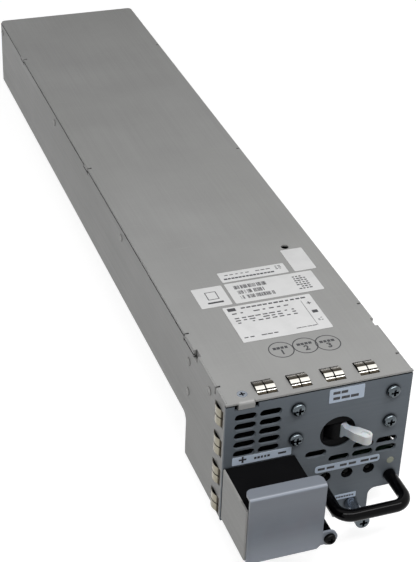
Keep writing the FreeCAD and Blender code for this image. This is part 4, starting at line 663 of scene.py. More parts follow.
def sticker(width, height, thickness, radius, material):
    """Rounded sheet lying on the drawing plane, its upper edge slightly softened."""
    corners = []
    radius = min(radius, width * CORNER_LIMIT, height * CORNER_LIMIT)
    for cx, cy, start in ((1, 1, 0), (-1, 1, 90), (-1, -1, 180), (1, -1, 270)):
        middle = Vector((cx * (width / 2 - radius), cy * (height / 2 - radius)))
        for step in range(CORNER_STEPS + 1):
            angle = math.radians(start + step * 90 / CORNER_STEPS)
            corners.append(middle + radius * Vector((math.cos(angle), math.sin(angle))))
    bm = bmesh.new()
    face = bm.faces.new([bm.verts.new((c.x, c.y, 0.0)) for c in corners])
    raised = bmesh.ops.extrude_face_region(bm, geom=[face])["geom"]
    top = [v for v in raised if isinstance(v, bmesh.types.BMVert)]
    bmesh.ops.translate(bm, verts=top, vec=(0, 0, thickness))
    rim = [e for e in bm.edges if all(v in top for v in e.verts)]
    bmesh.ops.bevel(bm, geom=rim, offset=thickness * SOFT_EDGE, segments=1, affect="EDGES")
    return mesh_from(bm, "sticker", material)


def letters(text, height, thickness, material):
    """Plain figures or signs as a closed mesh about the origin."""
    curve = bpy.data.curves.new("letters", "FONT")
    curve.body = text
    curve.size = height * TYPE_SIZE
    curve.extrude = thickness / 2
    curve.offset = height * STROKE_GAIN
    curve.align_x = "CENTER"
    curve.align_y = "CENTER"
    curve.resolution_u = 3
    mesh = evaluated_mesh(bpy.data.objects.new("letters", curve))
    bpy.data.curves.remove(curve)
    mesh.transform(Matrix.Translation((0, 0, thickness / 2)))
    mesh.materials.clear()
    mesh.materials.append(material)
    return mesh


def evaluated_mesh(thing):
    """Plain mesh of an object's evaluated shape; the object goes."""
    bpy.context.scene.collection.objects.link(thing)
    bpy.context.view_layer.update()
    graph = bpy.context.evaluated_depsgraph_get()
    mesh = bpy.data.meshes.new_from_object(thing.evaluated_get(graph))
    thing.modifiers.clear()
    bpy.data.objects.remove(thing)
    return mesh


# Geometry node trees

# Print rows: keeps whole rows whole when a number is rounded down, and sets the two random draws apart
ROUNDING = 0.01
SECOND_DRAW = 31.0

# Share of a bezel's wall that its rim is rounded by
BEZEL_ROUNDING = 0.3

# Press-in heads, as shares of their radius and height: the taper, and the round middle's radii and height
HEAD_TAPER = 0.95
HEAD_MIDDLE_TOP = 0.5
HEAD_MIDDLE_FOOT = 0.56
HEAD_MIDDLE_HEIGHT = 1.5


class Tree:
    """A geometry node group under construction, with named inputs."""

    def __init__(self, name, inputs):
        self.group = bpy.data.node_groups.new(name, "GeometryNodeTree")
        face = self.group.interface
        face.new_socket("Geometry", in_out="INPUT", socket_type="NodeSocketGeometry")
        for label, kind in inputs:
            face.new_socket(label, in_out="INPUT", socket_type="NodeSocket" + kind)
        face.new_socket("Geometry", in_out="OUTPUT", socket_type="NodeSocketGeometry")
        self.start = self.group.nodes.new("NodeGroupInput")
        self.end = self.group.nodes.new("NodeGroupOutput")

    def given(self, label):
        return self.start.outputs[label]

    def node(self, kind, settings=(), **links):
        """Adds a node with its settings. Its inputs are given by name, with a line for each space."""
        made = self.group.nodes.new(kind)
        for name, value in settings:
            setattr(made, name, value)
        for name, value in links.items():
            self.feed(made.inputs[name.replace("_", " ")], value)
        return made

    def feed(self, socket, value):
        if isinstance(value, bpy.types.NodeSocket):
            self.group.links.new(value, socket)
        else:
            socket.default_value = value

    def maths(self, operation, first, second=0.0):
        made = self.node("ShaderNodeMath", [("operation", operation)])
        self.feed(made.inputs[0], first)
        self.feed(made.inputs[1], second)
        return made.outputs["Value"]

    def vector(self, x, y, z):
        return self.node("ShaderNodeCombineXYZ", X=x, Y=y, Z=z).outputs["Vector"]

    def finish(self, geometry, material):
        """Realises what was laid out and gives it its material."""
        real = self.node("GeometryNodeRealizeInstances", Geometry=geometry).outputs["Geometry"]
        done = self.node("GeometryNodeSetMaterial", Geometry=real, Material=material).outputs["Geometry"]
        self.group.links.new(done, self.end.inputs["Geometry"])
        return self.group


def grown(group, values, points=((0, 0, 0),)):
    """Runs a tree on a few points and returns the plain mesh."""
    mesh = bpy.data.meshes.new(group.name)
    mesh.from_pydata([tuple(p) for p in points], [], [])
    thing = bpy.data.objects.new(group.name, mesh)
    modifier = thing.modifiers.new(group.name, "NODES")
    modifier.node_group = group
    for item in group.interface.items_tree:
        if item.item_type == "SOCKET" and item.in_out == "INPUT" and item.name in values:
            modifier[item.identifier] = values[item.name]
    result = evaluated_mesh(thing)
    bpy.data.meshes.remove(mesh)
    if not result.polygons:
        raise RuntimeError(group.name + " came out empty")
    return result


def print_row_tree():
    """Rows of small printed bars, like words when low and wide, or a bar field when tall and narrow."""
    tree = Tree("print_rows", [
        ("Width", "Float"), ("Height", "Float"), ("Columns", "Int"), ("Rows", "Int"),
        ("Mark Height", "Float"), ("Narrowest", "Float"), ("Widest", "Float"), ("Kept", "Float"),
        ("Ink Thickness", "Float"), ("Seed", "Int"), ("Ink", "Material")])
    columns, rows = tree.given("Columns"), tree.given("Rows")
    index = tree.node("GeometryNodeInputIndex").outputs["Index"]
    pitch_x = tree.maths("DIVIDE", tree.given("Width"), columns)
    pitch_y = tree.maths("DIVIDE", tree.given("Height"), rows)
    column = tree.maths("MODULO", index, columns)
    row = tree.maths("FLOOR", tree.maths("DIVIDE", tree.maths("ADD", index, ROUNDING), columns))

    def centred(step, count, pitch):
        middle = tree.maths("MULTIPLY", tree.maths("SUBTRACT", count, 1.0), 0.5)
        return tree.maths("MULTIPLY", tree.maths("SUBTRACT", step, middle), pitch)

    place = tree.vector(centred(column, columns, pitch_x), centred(row, rows, pitch_y), 0.0)
    spots = tree.node("GeometryNodePoints", Count=tree.maths("MULTIPLY", columns, rows), Position=place)
    chance = tree.node("FunctionNodeRandomValue", [("data_type", "FLOAT")])
    tree.feed(chance.inputs["Seed"], tree.given("Seed"))
    gone = tree.node("FunctionNodeCompare", [("data_type", "FLOAT"), ("operation", "GREATER_THAN")])
    tree.feed(gone.inputs[0], chance.outputs[1])
    tree.feed(gone.inputs[1], tree.given("Kept"))
    left = tree.node("GeometryNodeDeleteGeometry", [("domain", "POINT")],
                     Geometry=spots.outputs[0], Selection=gone.outputs["Result"])
    share = tree.node("FunctionNodeRandomValue", [("data_type", "FLOAT")])
    tree.feed(share.inputs[2], tree.given("Narrowest"))
    tree.feed(share.inputs[3], tree.given("Widest"))
    tree.feed(share.inputs["Seed"], tree.maths("ADD", tree.given("Seed"), SECOND_DRAW))
    wide = tree.maths("MULTIPLY", share.outputs[1], pitch_x)
    mark = tree.node("GeometryNodeMeshCube", Size=(1.0, 1.0, 1.0)).outputs["Mesh"]
    laid = tree.node("GeometryNodeInstanceOnPoints", Points=left.outputs[0], Instance=mark,
                     Scale=tree.vector(wide, tree.given("Mark Height"), tree.given("Ink Thickness")))
    return tree.finish(laid.outputs["Instances"], tree.given("Ink"))


def ring_tree():
    """A flat inked ring at each point."""
    tree = Tree("stamp_rings", [
        ("Radius", "Float"), ("Line", "Float"), ("Ink Thickness", "Float"), ("Ink", "Material")])
    circle = tree.node("GeometryNodeCurvePrimitiveCircle", Resolution=48, Radius=tree.given("Radius"))
    strip = tree.node("GeometryNodeCurvePrimitiveQuadrilateral",
                      Width=tree.given("Line"), Height=tree.given("Ink Thickness"))
    ring = tree.node("GeometryNodeCurveToMesh", Curve=circle.outputs["Curve"],
                     Profile_Curve=strip.outputs["Curve"]).outputs["Mesh"]
    laid = tree.node("GeometryNodeInstanceOnPoints", Points=tree.given("Geometry"), Instance=ring)
    return tree.finish(laid.outputs["Instances"], tree.given("Ink"))


def thread_tree():
    """A ridge wound round each point's Y axis."""
    tree = Tree("screw_threads", [
        ("Radius", "Float"), ("Pitch", "Float"), ("Length", "Float"), ("Rise", "Float"),
        ("Metal", "Material")])
    radius, length = tree.given("Radius"), tree.given("Length")
    turns = tree.maths("DIVIDE", length, tree.given("Pitch"))
    line = tree.node("GeometryNodeCurveSpiral", Resolution=28, Rotations=turns, Start_Radius=radius,
                     End_Radius=radius, Height=length)
    ridge = tree.node("GeometryNodeCurvePrimitiveCircle", Resolution=4, Radius=tree.given("Rise"))
    wound = tree.node("GeometryNodeCurveToMesh", Curve=line.outputs["Curve"],
                      Profile_Curve=ridge.outputs["Curve"])
    tree.feed(wound.inputs["Fill Caps"], True)
    laid = tree.node("GeometryNodeInstanceOnPoints", Points=tree.given("Geometry"),
                     Instance=wound.outputs["Mesh"], Rotation=(math.radians(-90), 0.0, 0.0))
    return tree.finish(laid.outputs["Instances"], tree.given("Metal"))


def bezel_tree():
    """A short sleeve along each point's Y axis, with rounded rims."""
    tree = Tree("bezel_rings", [
        ("Radius", "Float"), ("Wall", "Float"), ("Depth", "Float"), ("Plastic", "Material")])
    circle = tree.node("GeometryNodeCurvePrimitiveCircle", Resolution=40, Radius=tree.given("Radius"))
    section = tree.node("GeometryNodeCurvePrimitiveQuadrilateral", Width=tree.given("Wall"),
                        Height=tree.given("Depth"))
    soft = tree.node("GeometryNodeFilletCurve", [("mode", "POLY")], Curve=section.outputs["Curve"], Count=3,
                     Radius=tree.maths("MULTIPLY", tree.given("Wall"), BEZEL_ROUNDING))
    ring = tree.node("GeometryNodeCurveToMesh", Curve=circle.outputs["Curve"],
                     Profile_Curve=soft.outputs["Curve"]).outputs["Mesh"]
    laid = tree.node("GeometryNodeInstanceOnPoints", Points=tree.given("Geometry"), Instance=ring,
                     Rotation=(math.radians(90), 0.0, 0.0))
    return tree.finish(laid.outputs["Instances"], tree.given("Plastic"))


def press_head_tree():
    """A six-sided press-in head with a raised round middle, hanging from each point."""
    tree = Tree("press_in_heads", [("Radius", "Float"), ("Height", "Float"), ("Metal", "Material")])
    radius, height = tree.given("Radius"), tree.given("Height")
    flange = tree.node("GeometryNodeMeshCone", Vertices=6, Depth=height, Radius_Bottom=radius,
                       Radius_Top=tree.maths("MULTIPLY", radius, HEAD_TAPER))
    middle = tree.node("GeometryNodeMeshCone", Vertices=28,
                       Depth=tree.maths("MULTIPLY", height, HEAD_MIDDLE_HEIGHT),
                       Radius_Bottom=tree.maths("MULTIPLY", radius, HEAD_MIDDLE_FOOT),
                       Radius_Top=tree.maths("MULTIPLY", radius, HEAD_MIDDLE_TOP))
    both = tree.node("GeometryNodeJoinGeometry")
    for cone in (flange, middle):
        tree.group.links.new(cone.outputs["Mesh"], both.inputs["Geometry"])
    laid = tree.node("GeometryNodeInstanceOnPoints", Points=tree.given("Geometry"),
                     Instance=both.outputs["Geometry"], Rotation=(math.radians(180), 0.0, 0.0))
    return tree.finish(laid.outputs["Instances"], tree.given("Metal"))


# Operators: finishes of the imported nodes

class POWER_SUPPLY_OT_finish_sheet(bpy.types.Operator):
    """Give the case, lid and front panel their plated sheet finish"""
    bl_idname = "power_supply.finish_sheet"
    bl_label = "Finish sheet metal"

    def execute(self, context):
        look = context.scene.supply_sheet
        dressed("zinc_sheet", rolled_sheet(
            "zinc_sheet", look.zinc_colour, look.zinc_roughness, metallic=0.15, lines_stretch=LINES_ALONG,
            patch_tint=(0.32, 0.32, 0.305)))
        dressed("panel_sheet", rolled_sheet(
            "panel_sheet", look.panel_colour, look.panel_roughness, metallic=0.18, lines_stretch=LINES_ACROSS,
            patch_tint=(0.145, 0.157, 0.167), line_depth=0.12))
        # The breaker's shelf gets a dark copy of the plated sheet as painted shade inside the case
        dressed_nodes(("breaker_cradle",), rolled_sheet(
            "shaded_shelf_sheet", look.shelf_colour, roughness=0.6, metallic=0.1, lines_stretch=LINES_ACROSS,
            patch_tint=(0.022, 0.022, 0.024)))
        return {"FINISHED"}


class POWER_SUPPLY_OT_finish_hardware(bpy.types.Operator):
    """Give the screws, rivets, nuts, springs and copper their metal finish"""
    bl_idname = "power_supply.finish_hardware"
    bl_label = "Finish hardware"

    def execute(self, context):
        look = context.scene.supply_hardware
        dressed("plated_steel", bright_metal(
            "plated_steel", look.plated_colour, roughness=0.11, tarnish=(0.075, 0.087, 0.095)))
        # The crown colour is a painted highlight; the slope colour is painted dark reflection and shade
        tones = (look.spring_colour, look.crown_colour, look.slope_colour)
        dressed("spring_alloy", rubbed_spring("spring_alloy", *tones))
        low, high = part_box("grounding_strip_top")
        slot = (low[1] + STRIP_FRONT_LIP, high[1] - STRIP_REAR_LIP)
        dressed_nodes(("grounding_strip_top", "grounding_strip_bottom"),
                      rubbed_spring("painted_light_spring_alloy", *tones, slot))
        dressed_nodes(("retaining_sleeve", "lid_screw"), bright_metal(
            "turned_steel", look.turned_colour, roughness=0.2, tarnish=(0.22, 0.245, 0.28)))
        dressed_nodes(("side_rivets",), bright_metal(
            "rivet_steel", look.rivet_colour, roughness=0.5, tarnish=(0.2, 0.2, 0.195)))
        dressed_nodes(("led_standoffs",), bright_metal(
            "dull_stud", look.stud_colour, roughness=0.6, tarnish=(0.2, 0.21, 0.17)))
        dressed("copper", bright_metal(
            "copper", look.copper_colour, roughness=0.4, tarnish=(0.12, 0.07, 0.05)))
        # Bars and lugs darkened as painted shade inside the case
        dressed_nodes(("input_busbars", "breaker_terminals"), bright_metal(
            "shaded_tinned_copper", look.tinned_colour, roughness=0.5, tarnish=(0.04, 0.04, 0.04)))
        dressed("extruded_aluminium", bright_metal(
            "extruded_aluminium", (0.66, 0.67, 0.68), roughness=0.36, tarnish=(0.5, 0.5, 0.5)))
        return {"FINISHED"}


class POWER_SUPPLY_OT_finish_plastics(bpy.types.Operator):
    """Give the handle, mouldings, cover, lever and indicators their finish"""
    bl_idname = "power_supply.finish_plastics"
    bl_label = "Finish mouldings and enamel"

    def execute(self, context):
        look = context.scene.supply_plastics
        dressed("black_enamel", gloss_enamel("black_enamel", look.enamel_colour))
        dressed("black_moulding", moulded_plastic(
            "black_moulding", look.moulding_colour, roughness=0.42, grain_depth=0.02,
            Specular_IOR_Level=0.08))
        dressed_nodes(("breaker_body", "breaker_hub"), moulded_plastic(
            "breaker_moulding", look.breaker_colour, roughness=0.4, grain_depth=0.02,
            Specular_IOR_Level=0.04))
        dressed_nodes(("terminal_block",), moulded_plastic(
            "block_moulding", look.breaker_colour, roughness=0.5, grain_depth=0.02,
            Specular_IOR_Level=0.02))
        low, high = (Vector(c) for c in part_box("terminal_block"))
        dressed("milky_plastic", milky_sheet(
            "milky_plastic", look.cover_colour, look.flange_colour, middle=(low.z + high.z) / 2,
            half=(high.z - low.z) / 2))
        low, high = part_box("breaker_toggle")
        dressed("white_moulding", handled_lever(
            "white_moulding", look.lever_colour, look.lever_root_colour, tip=low[1], root=high[1]))
        # Matt black without sheen, so that the bezels stand in for shade in the indicator holes
        moulded_plastic(
            "matt_rubber_shade", look.rubber_colour, roughness=0.85, grain_depth=0.05, Specular_IOR_Level=0.0)
        dressed("dark_lens", moulded_plastic(
            "dark_lens", (0.004, 0.0045, 0.004), roughness=0.16, grain_depth=0.002,
            Specular_IOR_Level=0.04))
        return {"FINISHED"}


class POWER_SUPPLY_OT_finish_inside(bpy.types.Operator):
    """Give the boards, windings, cans and film inside the case their finish"""
    bl_idname = "power_supply.finish_inside"
    bl_label = "Finish inner parts"

    def execute(self, context):
        # Dark green laminate, darkened further as painted shade inside the case
        dressed("board_laminate", circuit_board("board_laminate", (0.006, 0.021, 0.011)))
        dressed("insulating_film", moulded_plastic(
            "insulating_film", (0.42, 0.38, 0.30), roughness=0.4, grain_depth=0.006))
        dressed("can_sleeve", sleeved_can("can_sleeve", (0.02, 0.03, 0.06)))
        dressed("wound_wire", wound_copper("wound_wire", (0.55, 0.22, 0.08)))
        dressed("ferrite", moulded_plastic(
            "ferrite", (0.045, 0.045, 0.048), roughness=0.55, grain_depth=0.03))
        return {"FINISHED"}


# Operators: labels and stamps

# Step of the seed from one print field to the next
SEED_STEP = 13


class LabelMaker:
    """Stickers and print with the finishes and sizes of the settings. Lengths are in millimetres."""

    def __init__(self, look):
        self.look = look
        self.rows = bpy.data.node_groups.get("print_rows") or print_row_tree()
        self.paper = bpy.data.materials.get("label_paper") or coated_paper("label_paper", look.paper_colour)
        self.ink = bpy.data.materials.get("label_ink") or printing_ink("label_ink", look.ink_colour)
        self.count = 0

    def use_film(self):
        """Goes on with the film of the panel's stickers."""
        film = bpy.data.materials.get("panel_film")
        self.paper = film or coated_paper("panel_film", self.look.panel_paper_colour)

    def sheet(self, width, height, radius=None):
        """A blank sticker, with the corners of the settings unless a radius is given."""
        return sticker(mm(width), mm(height), self.look.paper_thickness,
                       self.look.corner_radius if radius is None else mm(radius), self.paper)

    def on_paper(self, mesh, x, y):
        """Moves print from the origin to its place on the paper."""
        mesh.transform(Matrix.Translation((mm(x), mm(y), self.look.paper_thickness)))
        return mesh

    def marks(self, field, grid, mark, share=(0.45, 0.92), kept=0.9):
        """Print rows: the field's middle, width and height, its columns and rows, and a mark's height.

        The share is a mark's least and greatest part of its column, and kept the part of marks left in.
        """
        x, y, width, height = field
        columns, rows = grid
        self.count += 1
        mesh = grown(self.rows, {
            "Width": mm(width), "Height": mm(height), "Columns": columns, "Rows": rows,
            "Mark Height": mm(mark), "Narrowest": share[0], "Widest": share[1], "Kept": kept,
            "Ink Thickness": self.look.ink_thickness,
            "Seed": self.look.print_seed + SEED_STEP * self.count, "Ink": self.ink})
        return self.on_paper(mesh, x, y)

    def bar(self, x, y, width, height):
        """One solid bar centred at x, y."""
        return self.marks((x, y, width, height), (1, 1), mark=height, share=(1.0, 1.0), kept=1.0)

    def figures(self, text, x, y, height):
        """Plain figures or signs centred at x, y."""
        return self.on_paper(letters(text, mm(height), self.look.ink_thickness, self.ink), x, y)

    def stick(self, name, place, parts):
        """Joins the parts of a label and puts it in its place."""
        mesh = merged(name, parts)
        mesh.transform(place)
        return shown_piece(name, mesh)


class POWER_SUPPLY_OT_lid_labels(bpy.types.Operator):
    """Stick the five labels on the lid"""
    bl_idname = "power_supply.lid_labels"
    bl_label = "Lid labels"

    def execute(self, context):
        label = LabelMaker(context.scene.supply_labels)
        label.stick("lid_blank_label", lid_spot(85.6, 114.6), [label.sheet(13.2, 22.7)])
        label.stick("lid_strip_label", lid_spot(55.8, 108.4), [
            label.sheet(39.6, 9.8),
            label.marks((-3.0, 1.6, 28.0, 1.4), (9, 1), mark=0.7, share=(0.4, 0.85), kept=0.8),
            label.marks((-3.0, -2.0, 30.0, 1.8), (14, 1), mark=1.3, share=(0.7, 0.95), kept=0.97),
            label.marks((15.5, 1.6, 4.0, 4.2), (2, 3), mark=0.6),
        ])
        label.stick("lid_bar_label", lid_spot(62.0, 92.0), [
            label.sheet(52.0, 19.6),
            label.marks((-12.5, 5.0, 19.0, 4.0), (34, 1), mark=3.4, share=(0.3, 0.9), kept=0.86),
            label.marks((-13.5, 0.0, 16.0, 4.0), (29, 1), mark=3.4, share=(0.3, 0.9), kept=0.86),
            label.marks((-11.5, -5.0, 20.0, 4.0), (36, 1), mark=3.4, share=(0.3, 0.9), kept=0.86),
            label.marks((16.5, 0.0, 8.0, 14.0), (4, 7), mark=1.0, share=(0.5, 0.9), kept=0.88),
        ])
        label.stick("lid_square_label", lid_spot(25.35, 91.95), [
            label.sheet(17.7, 19.1),
            label.bar(0.6, -5.6, 9.0, 1.5),
            label.bar(0.6, 4.6, 6.4, 0.5),
            label.bar(0.6, -2.4, 6.4, 0.5),
            label.bar(-2.4, 1.1, 0.5, 6.6),
            label.bar(3.6, 1.1, 0.5, 6.6),
        ])
        label.stick("lid_rating_label", lid_spot(52.4, 63.5), [
            label.sheet(50.8, 33.0),
            label.bar(-21.0, 13.6, 4.6, 2.9),
            label.marks((3.0, 13.8, 38.0, 1.8), (12, 1), mark=1.2, share=(0.55, 0.95), kept=0.95),
            label.marks((-6.0, 9.6, 34.0, 1.8), (8, 1), mark=1.0, share=(0.3, 0.9), kept=0.7),
            label.marks((-5.0, 3.0, 36.0, 6.6), (9, 3), mark=0.9, share=(0.3, 0.9), kept=0.66),
            label.marks((-14.0, -12.6, 20.0, 1.4), (6, 1), mark=0.8, share=(0.6, 0.95), kept=0.95),
            label.marks((12.0, -12.2, 12.0, 1.2), (4, 1), mark=0.6, share=(0.6, 0.95), kept=0.9),
            label.bar(18.2, -0.6, 0.25, 24.0),
            label.figures("+", 21.6, 8.0, 3.4),
            label.bar(21.8, 0.0, 3.2, 2.6),
            label.marks((21.8, -7.4, 3.4, 3.0), (2, 3), mark=0.5),
        ])
        return {"FINISHED"}


class POWER_SUPPLY_OT_ink_stamps(bpy.types.Operator):
    """Stamp the three inspection rings on the lid, each with a row of bars and a plain number"""
    bl_idname = "power_supply.ink_stamps"
    bl_label = "Inspection stamps"

    def execute(self, context):
        label = LabelMaker(context.scene.supply_labels)
        look = label.look
        places = ((43.5, 35.8), (56.9, 35.8), (69.2, 34.6))
        half_ink = look.ink_thickness / 2
        points = [(mm(x), mm(y), half_ink) for x, y in places]
        parts = [grown(ring_tree(), {
            "Radius": look.stamp_radius, "Line": look.stamp_line, "Ink Thickness": look.ink_thickness,
            "Ink": label.ink}, points)]
        down = Matrix.Translation((0, 0, half_ink - look.paper_thickness))
        for number, (x, y) in enumerate(places, 1):
            bars = label.marks((x, y + 1.6, 8.6, 2.2), (4, 1), mark=1.9, share=(0.7, 0.9), kept=1.0)
            figure = label.figures(str(number), x, y - 2.3, height=4.0)
            for mesh in (bars, figure):
                mesh.transform(down)
                parts.append(mesh)
        mesh = merged("lid_inspection_stamps", parts)
        mesh.transform(lid_spot(0.0, 0.0))
        shown_piece("lid_inspection_stamps", mesh)
        return {"FINISHED"}


class POWER_SUPPLY_OT_panel_labels(bpy.types.Operator):
    """Stick the labels on the front panel, with bars, signs and no words"""
    bl_idname = "power_supply.panel_labels"
    bl_label = "Panel labels"

    def execute(self, context):
        label = LabelMaker(context.scene.supply_labels)
        label.use_film()
        label.stick("terminal_label", panel_spot(20.9, 38.0), [
            label.sheet(32.2, 5.0, 0.4),
            label.figures("+", -10.5, 0.0, 5.6),
            label.marks((0.0, 0.0, 9.0, 1.8), (5, 1), mark=1.4, share=(0.6, 0.85), kept=1.0),
            label.bar(11.0, 0.0, 4.4, 1.2),
        ])
        label.stick("breaker_label", panel_spot(65.2, 68.0), [
            label.sheet(19.4, 8.6, 0.6),
            label.marks((-3.6, 1.7, 8.6, 2.2), (2, 1), mark=1.7, share=(0.85, 0.95), kept=1.0),
            label.marks((-0.6, -1.8, 15.0, 2.2), (3, 1), mark=1.7, share=(0.7, 0.92), kept=1.0),
        ])
        label.stick("indicator_label", panel_spot(69.9, 21.05), [
            label.sheet(37.0, 4.7, 1.6),
            label.marks((-12.3, 0.0, 10.4, 2.0), (2, 1), mark=1.5, share=(0.75, 0.92), kept=1.0),
            label.marks((0.2, 0.0, 10.4, 2.0), (2, 1), mark=1.5, share=(0.75, 0.92), kept=1.0),
            label.marks((12.5, 0.0, 10.6, 2.0), (2, 1), mark=1.5, share=(0.75, 0.92), kept=1.0),
        ])
        label.stick("tab_label", panel_spot(70.65, -1.25), [
            label.sheet(12.3, 3.5, 0.4),
            label.marks((-0.3, 0.0, 10.5, 1.4), (7, 1), mark=1.0, share=(0.6, 0.9), kept=0.95),
        ])
        return {"FINISHED"}


# Operators: small hardware

# Threads: how deep the ridge's middle lies in the shank as a share of its rise, and the captive screw's
# pitch as a share of the studs' pitch
THREAD_SUNK = 0.1
FINE_PITCH = 0.8

# Plain lengths that the threads leave at the clip, at the screw's and the studs' ends, and at the nuts
CLIP_GAP = mm(0.5)
SCREW_TIP = mm(1.3)
STUD_TIP = mm(1.2)
NUT_GAP = mm(0.4)


class POWER_SUPPLY_OT_threads(bpy.types.Operator):
    """Wind the threads on the terminal studs and the end of the retaining screw"""
    bl_idname = "power_supply.threads"
    bl_label = "Screw threads"

    def execute(self, context):
        look = context.scene.supply_hardware
        sunk = look.thread_rise * THREAD_SUNK
        tree = thread_tree()
        low, high = (Vector(c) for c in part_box("retaining_screw"))
        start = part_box("retaining_clip")[1][1] + CLIP_GAP
        spots = [((low.x + high.x) / 2, start, (low.z + high.z) / 2)]
        mesh = grown(tree, {
            "Radius": CAPTIVE_SCREW_RADIUS - sunk, "Pitch": look.thread_pitch * FINE_PITCH,
            "Length": high.y - SCREW_TIP - start, "Rise": look.thread_rise,
            "Metal": material_named("plated_steel")}, spots)
        shown_piece("retaining_screw_thread", mesh, "captive_screw")
        low, high = (Vector(c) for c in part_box("terminal_studs"))
        start = low.y + STUD_TIP
        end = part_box("terminal_nuts")[0][1] - NUT_GAP
        axes = (low.x + STUD_RADIUS, high.x - STUD_RADIUS)
        spots = [(x, start, (low.z + high.z) / 2) for x in axes]
        mesh = grown(tree, {
            "Radius": STUD_RADIUS - sunk, "Pitch": look.thread_pitch, "Length": end - start,
            "Rise": look.thread_rise, "Metal": material_named("copper")}, spots)
        shown_piece("terminal_stud_threads", mesh)
        return {"FINISHED"}


class POWER_SUPPLY_OT_press_heads(bpy.types.Operator):
    """Set the heads of the six board standoffs in the underside of the thin section"""
    bl_idname = "power_supply.press_heads"
    bl_label = "Press-in heads"

    def execute(self, context):
        look = context.scene.supply_hardware
        low, high = (Vector(c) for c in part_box("board_standoffs"))
        radius = STANDOFF_RADIUS
        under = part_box("insulator_sheet")[0][2] - CASE_SHEET - look.press_head_height / 2
        rows = (low.y + radius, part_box("heatsink_left")[1][1] + radius, high.y - radius)
        spots = [(x, y, under) for x in (low.x + radius, high.x - radius) for y in rows]
        mesh = grown(press_head_tree(), {
            "Radius": look.press_head_radius, "Height": look.press_head_height,
            "Metal": material_named("plated_steel")}, spots)
        shown_piece("press_in_heads", mesh)
        return {"FINISHED"}


class POWER_SUPPLY_OT_indicator_bezels(bpy.types.Operator):
    """Set a black bezel, a guessed grommet, round each indicator inside its hole in the panel; its matt black
    stands in for shade in the hole
    """
    bl_idname = "power_supply.indicator_bezels"
    bl_label = "Indicator bezels"

    def execute(self, context):
        look = context.scene.supply_hardware
        spots = []
        for side in ("left", "middle", "right"):
            low, high = (Vector(c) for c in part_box("status_led_" + side))
            spots.append(((low.x + high.x) / 2, PANEL_LOW.y + look.bezel_sunk + look.bezel_depth / 2,
                          (low.z + high.z) / 2))
        mesh = grown(bezel_tree(), {
            "Radius": look.bezel_radius, "Wall": look.bezel_wall, "Depth": look.bezel_depth,
            "Plastic": material_named("matt_rubber_shade")}, spots)
        shown_piece("indicator_bezels", mesh)
        return {"FINISHED"}


# Operator: the stage

# How far the floor reaches to each side, ahead of the tab and behind it, in metres
FLOOR_SIDE = 3.0
FLOOR_AHEAD = 3.0
FLOOR_BEHIND = 4.0

# Millimetres, as the camera takes them
SENSOR_WIDTH = 36.0


def seen_or_mirrored(tree):
    """1 where a camera, a reflection or clear plastic looks, 0 for the light that falls on the object."""
    path = tree.nodes.new("ShaderNodeLightPath")
    seen = path.outputs["Is Camera Ray"]
    for other in ("Is Glossy Ray", "Is Transmission Ray"):
        either = tree.nodes.new("ShaderNodeMath")
        either.operation = "MAXIMUM"
        tree.links.new(seen, either.inputs[0])
        tree.links.new(path.outputs[other], either.inputs[1])
        seen = either.outputs["Value"]
    return seen


def soft_lamp(name, power, place, target, size):
    """Rectangular lamp that shines from its place at a target."""
    data = bpy.data.lights.new(name, "AREA")
    data.energy = power
    data.shape = "RECTANGLE"
    data.size, data.size_y = size
    lamp = bpy.data.objects.new(name, data)
    lamp.location = place
    lamp.rotation_euler = (Vector(target) - Vector(place)).to_track_quat("-Z", "Y").to_euler()
    bpy.context.scene.collection.objects.link(lamp)


